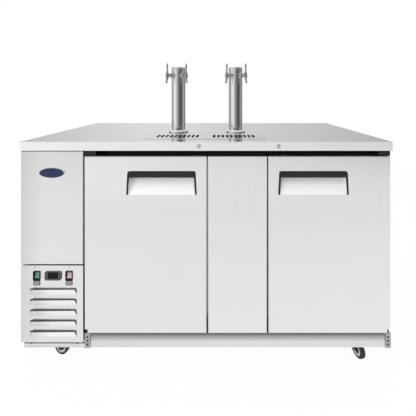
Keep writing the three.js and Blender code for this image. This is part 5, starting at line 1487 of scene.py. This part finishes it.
for hand in hands:
    x, y, foot = tower_places[hand]
    for letter, turn in (("a", -40), ("b", 40)):
        aim = Matrix.Translation((x, y, foot + shank_height)) @ Matrix.Rotation(math.radians(turn), 4, "Z")
        out = aim @ Matrix.Rotation(math.radians(90), 4, "X")  # the lathe's axis now points out of the tower
        valve = aim @ Matrix.Translation((0, -valve_out, 0))
        name = f"faucet_{hand}_{letter}"
        faucet_body(name, f"faucet_body_{hand}_{letter}", out, valve)
        faucet_cheeks(name, valve)
        faucet_lever(name, f"lever_{hand}_{letter}", f"faucet_lever_{hand}_{letter}", valve)
        print(name, "turned", turn, "degrees")

# %% [markdown]
# ## Casters
# A caster's wheel has a black tyre, rounded at its shoulders, on a light plastic centre with a
# dark hub. Its tread just meets the floor.

# %% Wheels
tyre = [
    (0.0265, -0.0112), (0.033, -0.0128), (0.0366, -0.0112), (0.0377, -0.007), (0.038, -0.002), (0.038, 0.002),
    (0.0377, 0.007), (0.0366, 0.0112), (0.033, 0.0128), (0.0265, 0.0112), (0.0265, -0.0112),
]
rim_profile = [
    (0.0185, -0.0085), (0.0205, -0.012), (0.0255, -0.0125), (0.0266, -0.0112), (0.0266, 0.0112),
    (0.0255, 0.0125), (0.0205, 0.012), (0.0185, 0.0085), (0.0185, -0.0085),
]
hub_profile = [
    (0.0047, -0.0138), (0.0095, -0.0138), (0.0112, -0.0085), (0.0186, -0.007), (0.0186, 0.007),
    (0.0112, 0.0085), (0.0095, 0.0138), (0.0047, 0.0138), (0.0047, -0.0138),
]


def caster_wheel(corner, axle):
    body = f"wheel_{corner}"
    bm = bmesh.new()
    ring_into(bm, tyre, axle, steps=72)
    finished(f"{corner}_tyre", bm, tyre_rubber, body, [f"caster_wheel_{corner}"], crease=50)
    for name, profile, finish in (("rim", rim_profile, rim_grey), ("hub", hub_profile, tyre_rubber)):
        bm = bmesh.new()
        ring_into(bm, softened(profile, radius=0.0007, steps=2), axle, steps=56)
        finished(f"{corner}_wheel_{name}", bm, finish, body, crease=40)


print("wheels of", 2 * max(radius for radius, _ in tyre), "m")

# %% [markdown]
# The fork is pressed steel with black enamel: two legs that lean back to the axle, a bridge
# over the wheel, and the swivel's crown on top. The crown is turned about the swivel's axis.

# %% Forks
leg_inner, leg_outer, axle_radius = 0.0155, 0.0185, 0.004
bolt_head = [(0, 0.004), (0.0052, 0.004), (0.0068, 0.0032), (0.0068, -0.0003), (0, -0.0003)]
axle_pin = [(0, -leg_outer), (axle_radius, -leg_outer), (axle_radius, leg_outer), (0, leg_outer)]
crown = [
    (0, 0.0837), (0.0235, 0.0837), (0.025, 0.0855), (0.025, 0.0905), (0.0225, 0.0935), (0.0225, 0.0967),
    (0, 0.0967),
]
bridge_x, bridge_z, bridge_size = -0.0005, 0.0853, (0.047, 0.037, 0.003)


def fork_leg(trail):
    return rounded([
        (-0.0125, 0.0845, 0.002), (trail - 0.009, 0.038, 0.0), (trail - 0.0075, 0.030, 0.006),
        (trail, 0.0288, 0.006), (trail + 0.0085, 0.0325, 0.006), (trail + 0.0085, 0.044, 0.006),
        (trail + 0.0015, 0.0845, 0.002),
    ], steps=4)


def caster_fork(corner, turn, trail, axle_height):
    leg = fork_leg(trail)
    bm = bmesh.new()
    for side in (-1, 1):
        chamfered_plate_into(bm, leg, turn, on_front, (side * leg_inner, side * leg_outer), chamfer=0.0005)
        bolt = turn @ Matrix.Translation((trail, side * leg_outer, axle_height))
        turned_into(bm, bolt_head, bolt @ Matrix.Rotation(math.radians(-90 * side), 4, "X"), steps=6)
    axle = turn @ Matrix.Translation((trail, 0, axle_height)) @ Matrix.Rotation(math.radians(90), 4, "X")
    turned_into(bm, axle_pin, axle, steps=24)
    turned_into(bm, softened(crown, radius=0.0009, steps=2), turn, steps=48)
    for vert in bmesh.ops.create_cube(bm, size=1.0)["verts"]:
        x, y, z = [c * size for c, size in zip(vert.co, bridge_size)]
        vert.co = turn @ Vector((bridge_x + x, y, bridge_z + z))
    name, solid = f"{corner}_fork", f"caster_fork_{corner}"
    finished(name, bm, fork_black, f"fork_{corner}", [solid], crease=40)


joints = {joint["name"]: joint for joint in frame["joints"]}
for corner in ("front_left", "front_right", "rear_left", "rear_right"):
    hub = Vector(joints[f"{corner}_roll"]["pos_m"])
    swivel = Vector(joints[f"{corner}_swivel"]["pos_m"])
    yaw = math.atan2(hub.y - swivel.y, hub.x - swivel.x)
    trail = math.hypot(hub.x - swivel.x, hub.y - swivel.y)
    upright = Matrix.Rotation(yaw, 4, "Z")
    caster_wheel(corner, Matrix.Translation(hub) @ upright @ Matrix.Rotation(math.radians(-90), 4, "X"))
    caster_fork(corner, Matrix.Translation((swivel.x, swivel.y, 0)) @ upright, trail, hub.z)
    print(corner, "caster, turned", round(math.degrees(yaw)), "degrees")
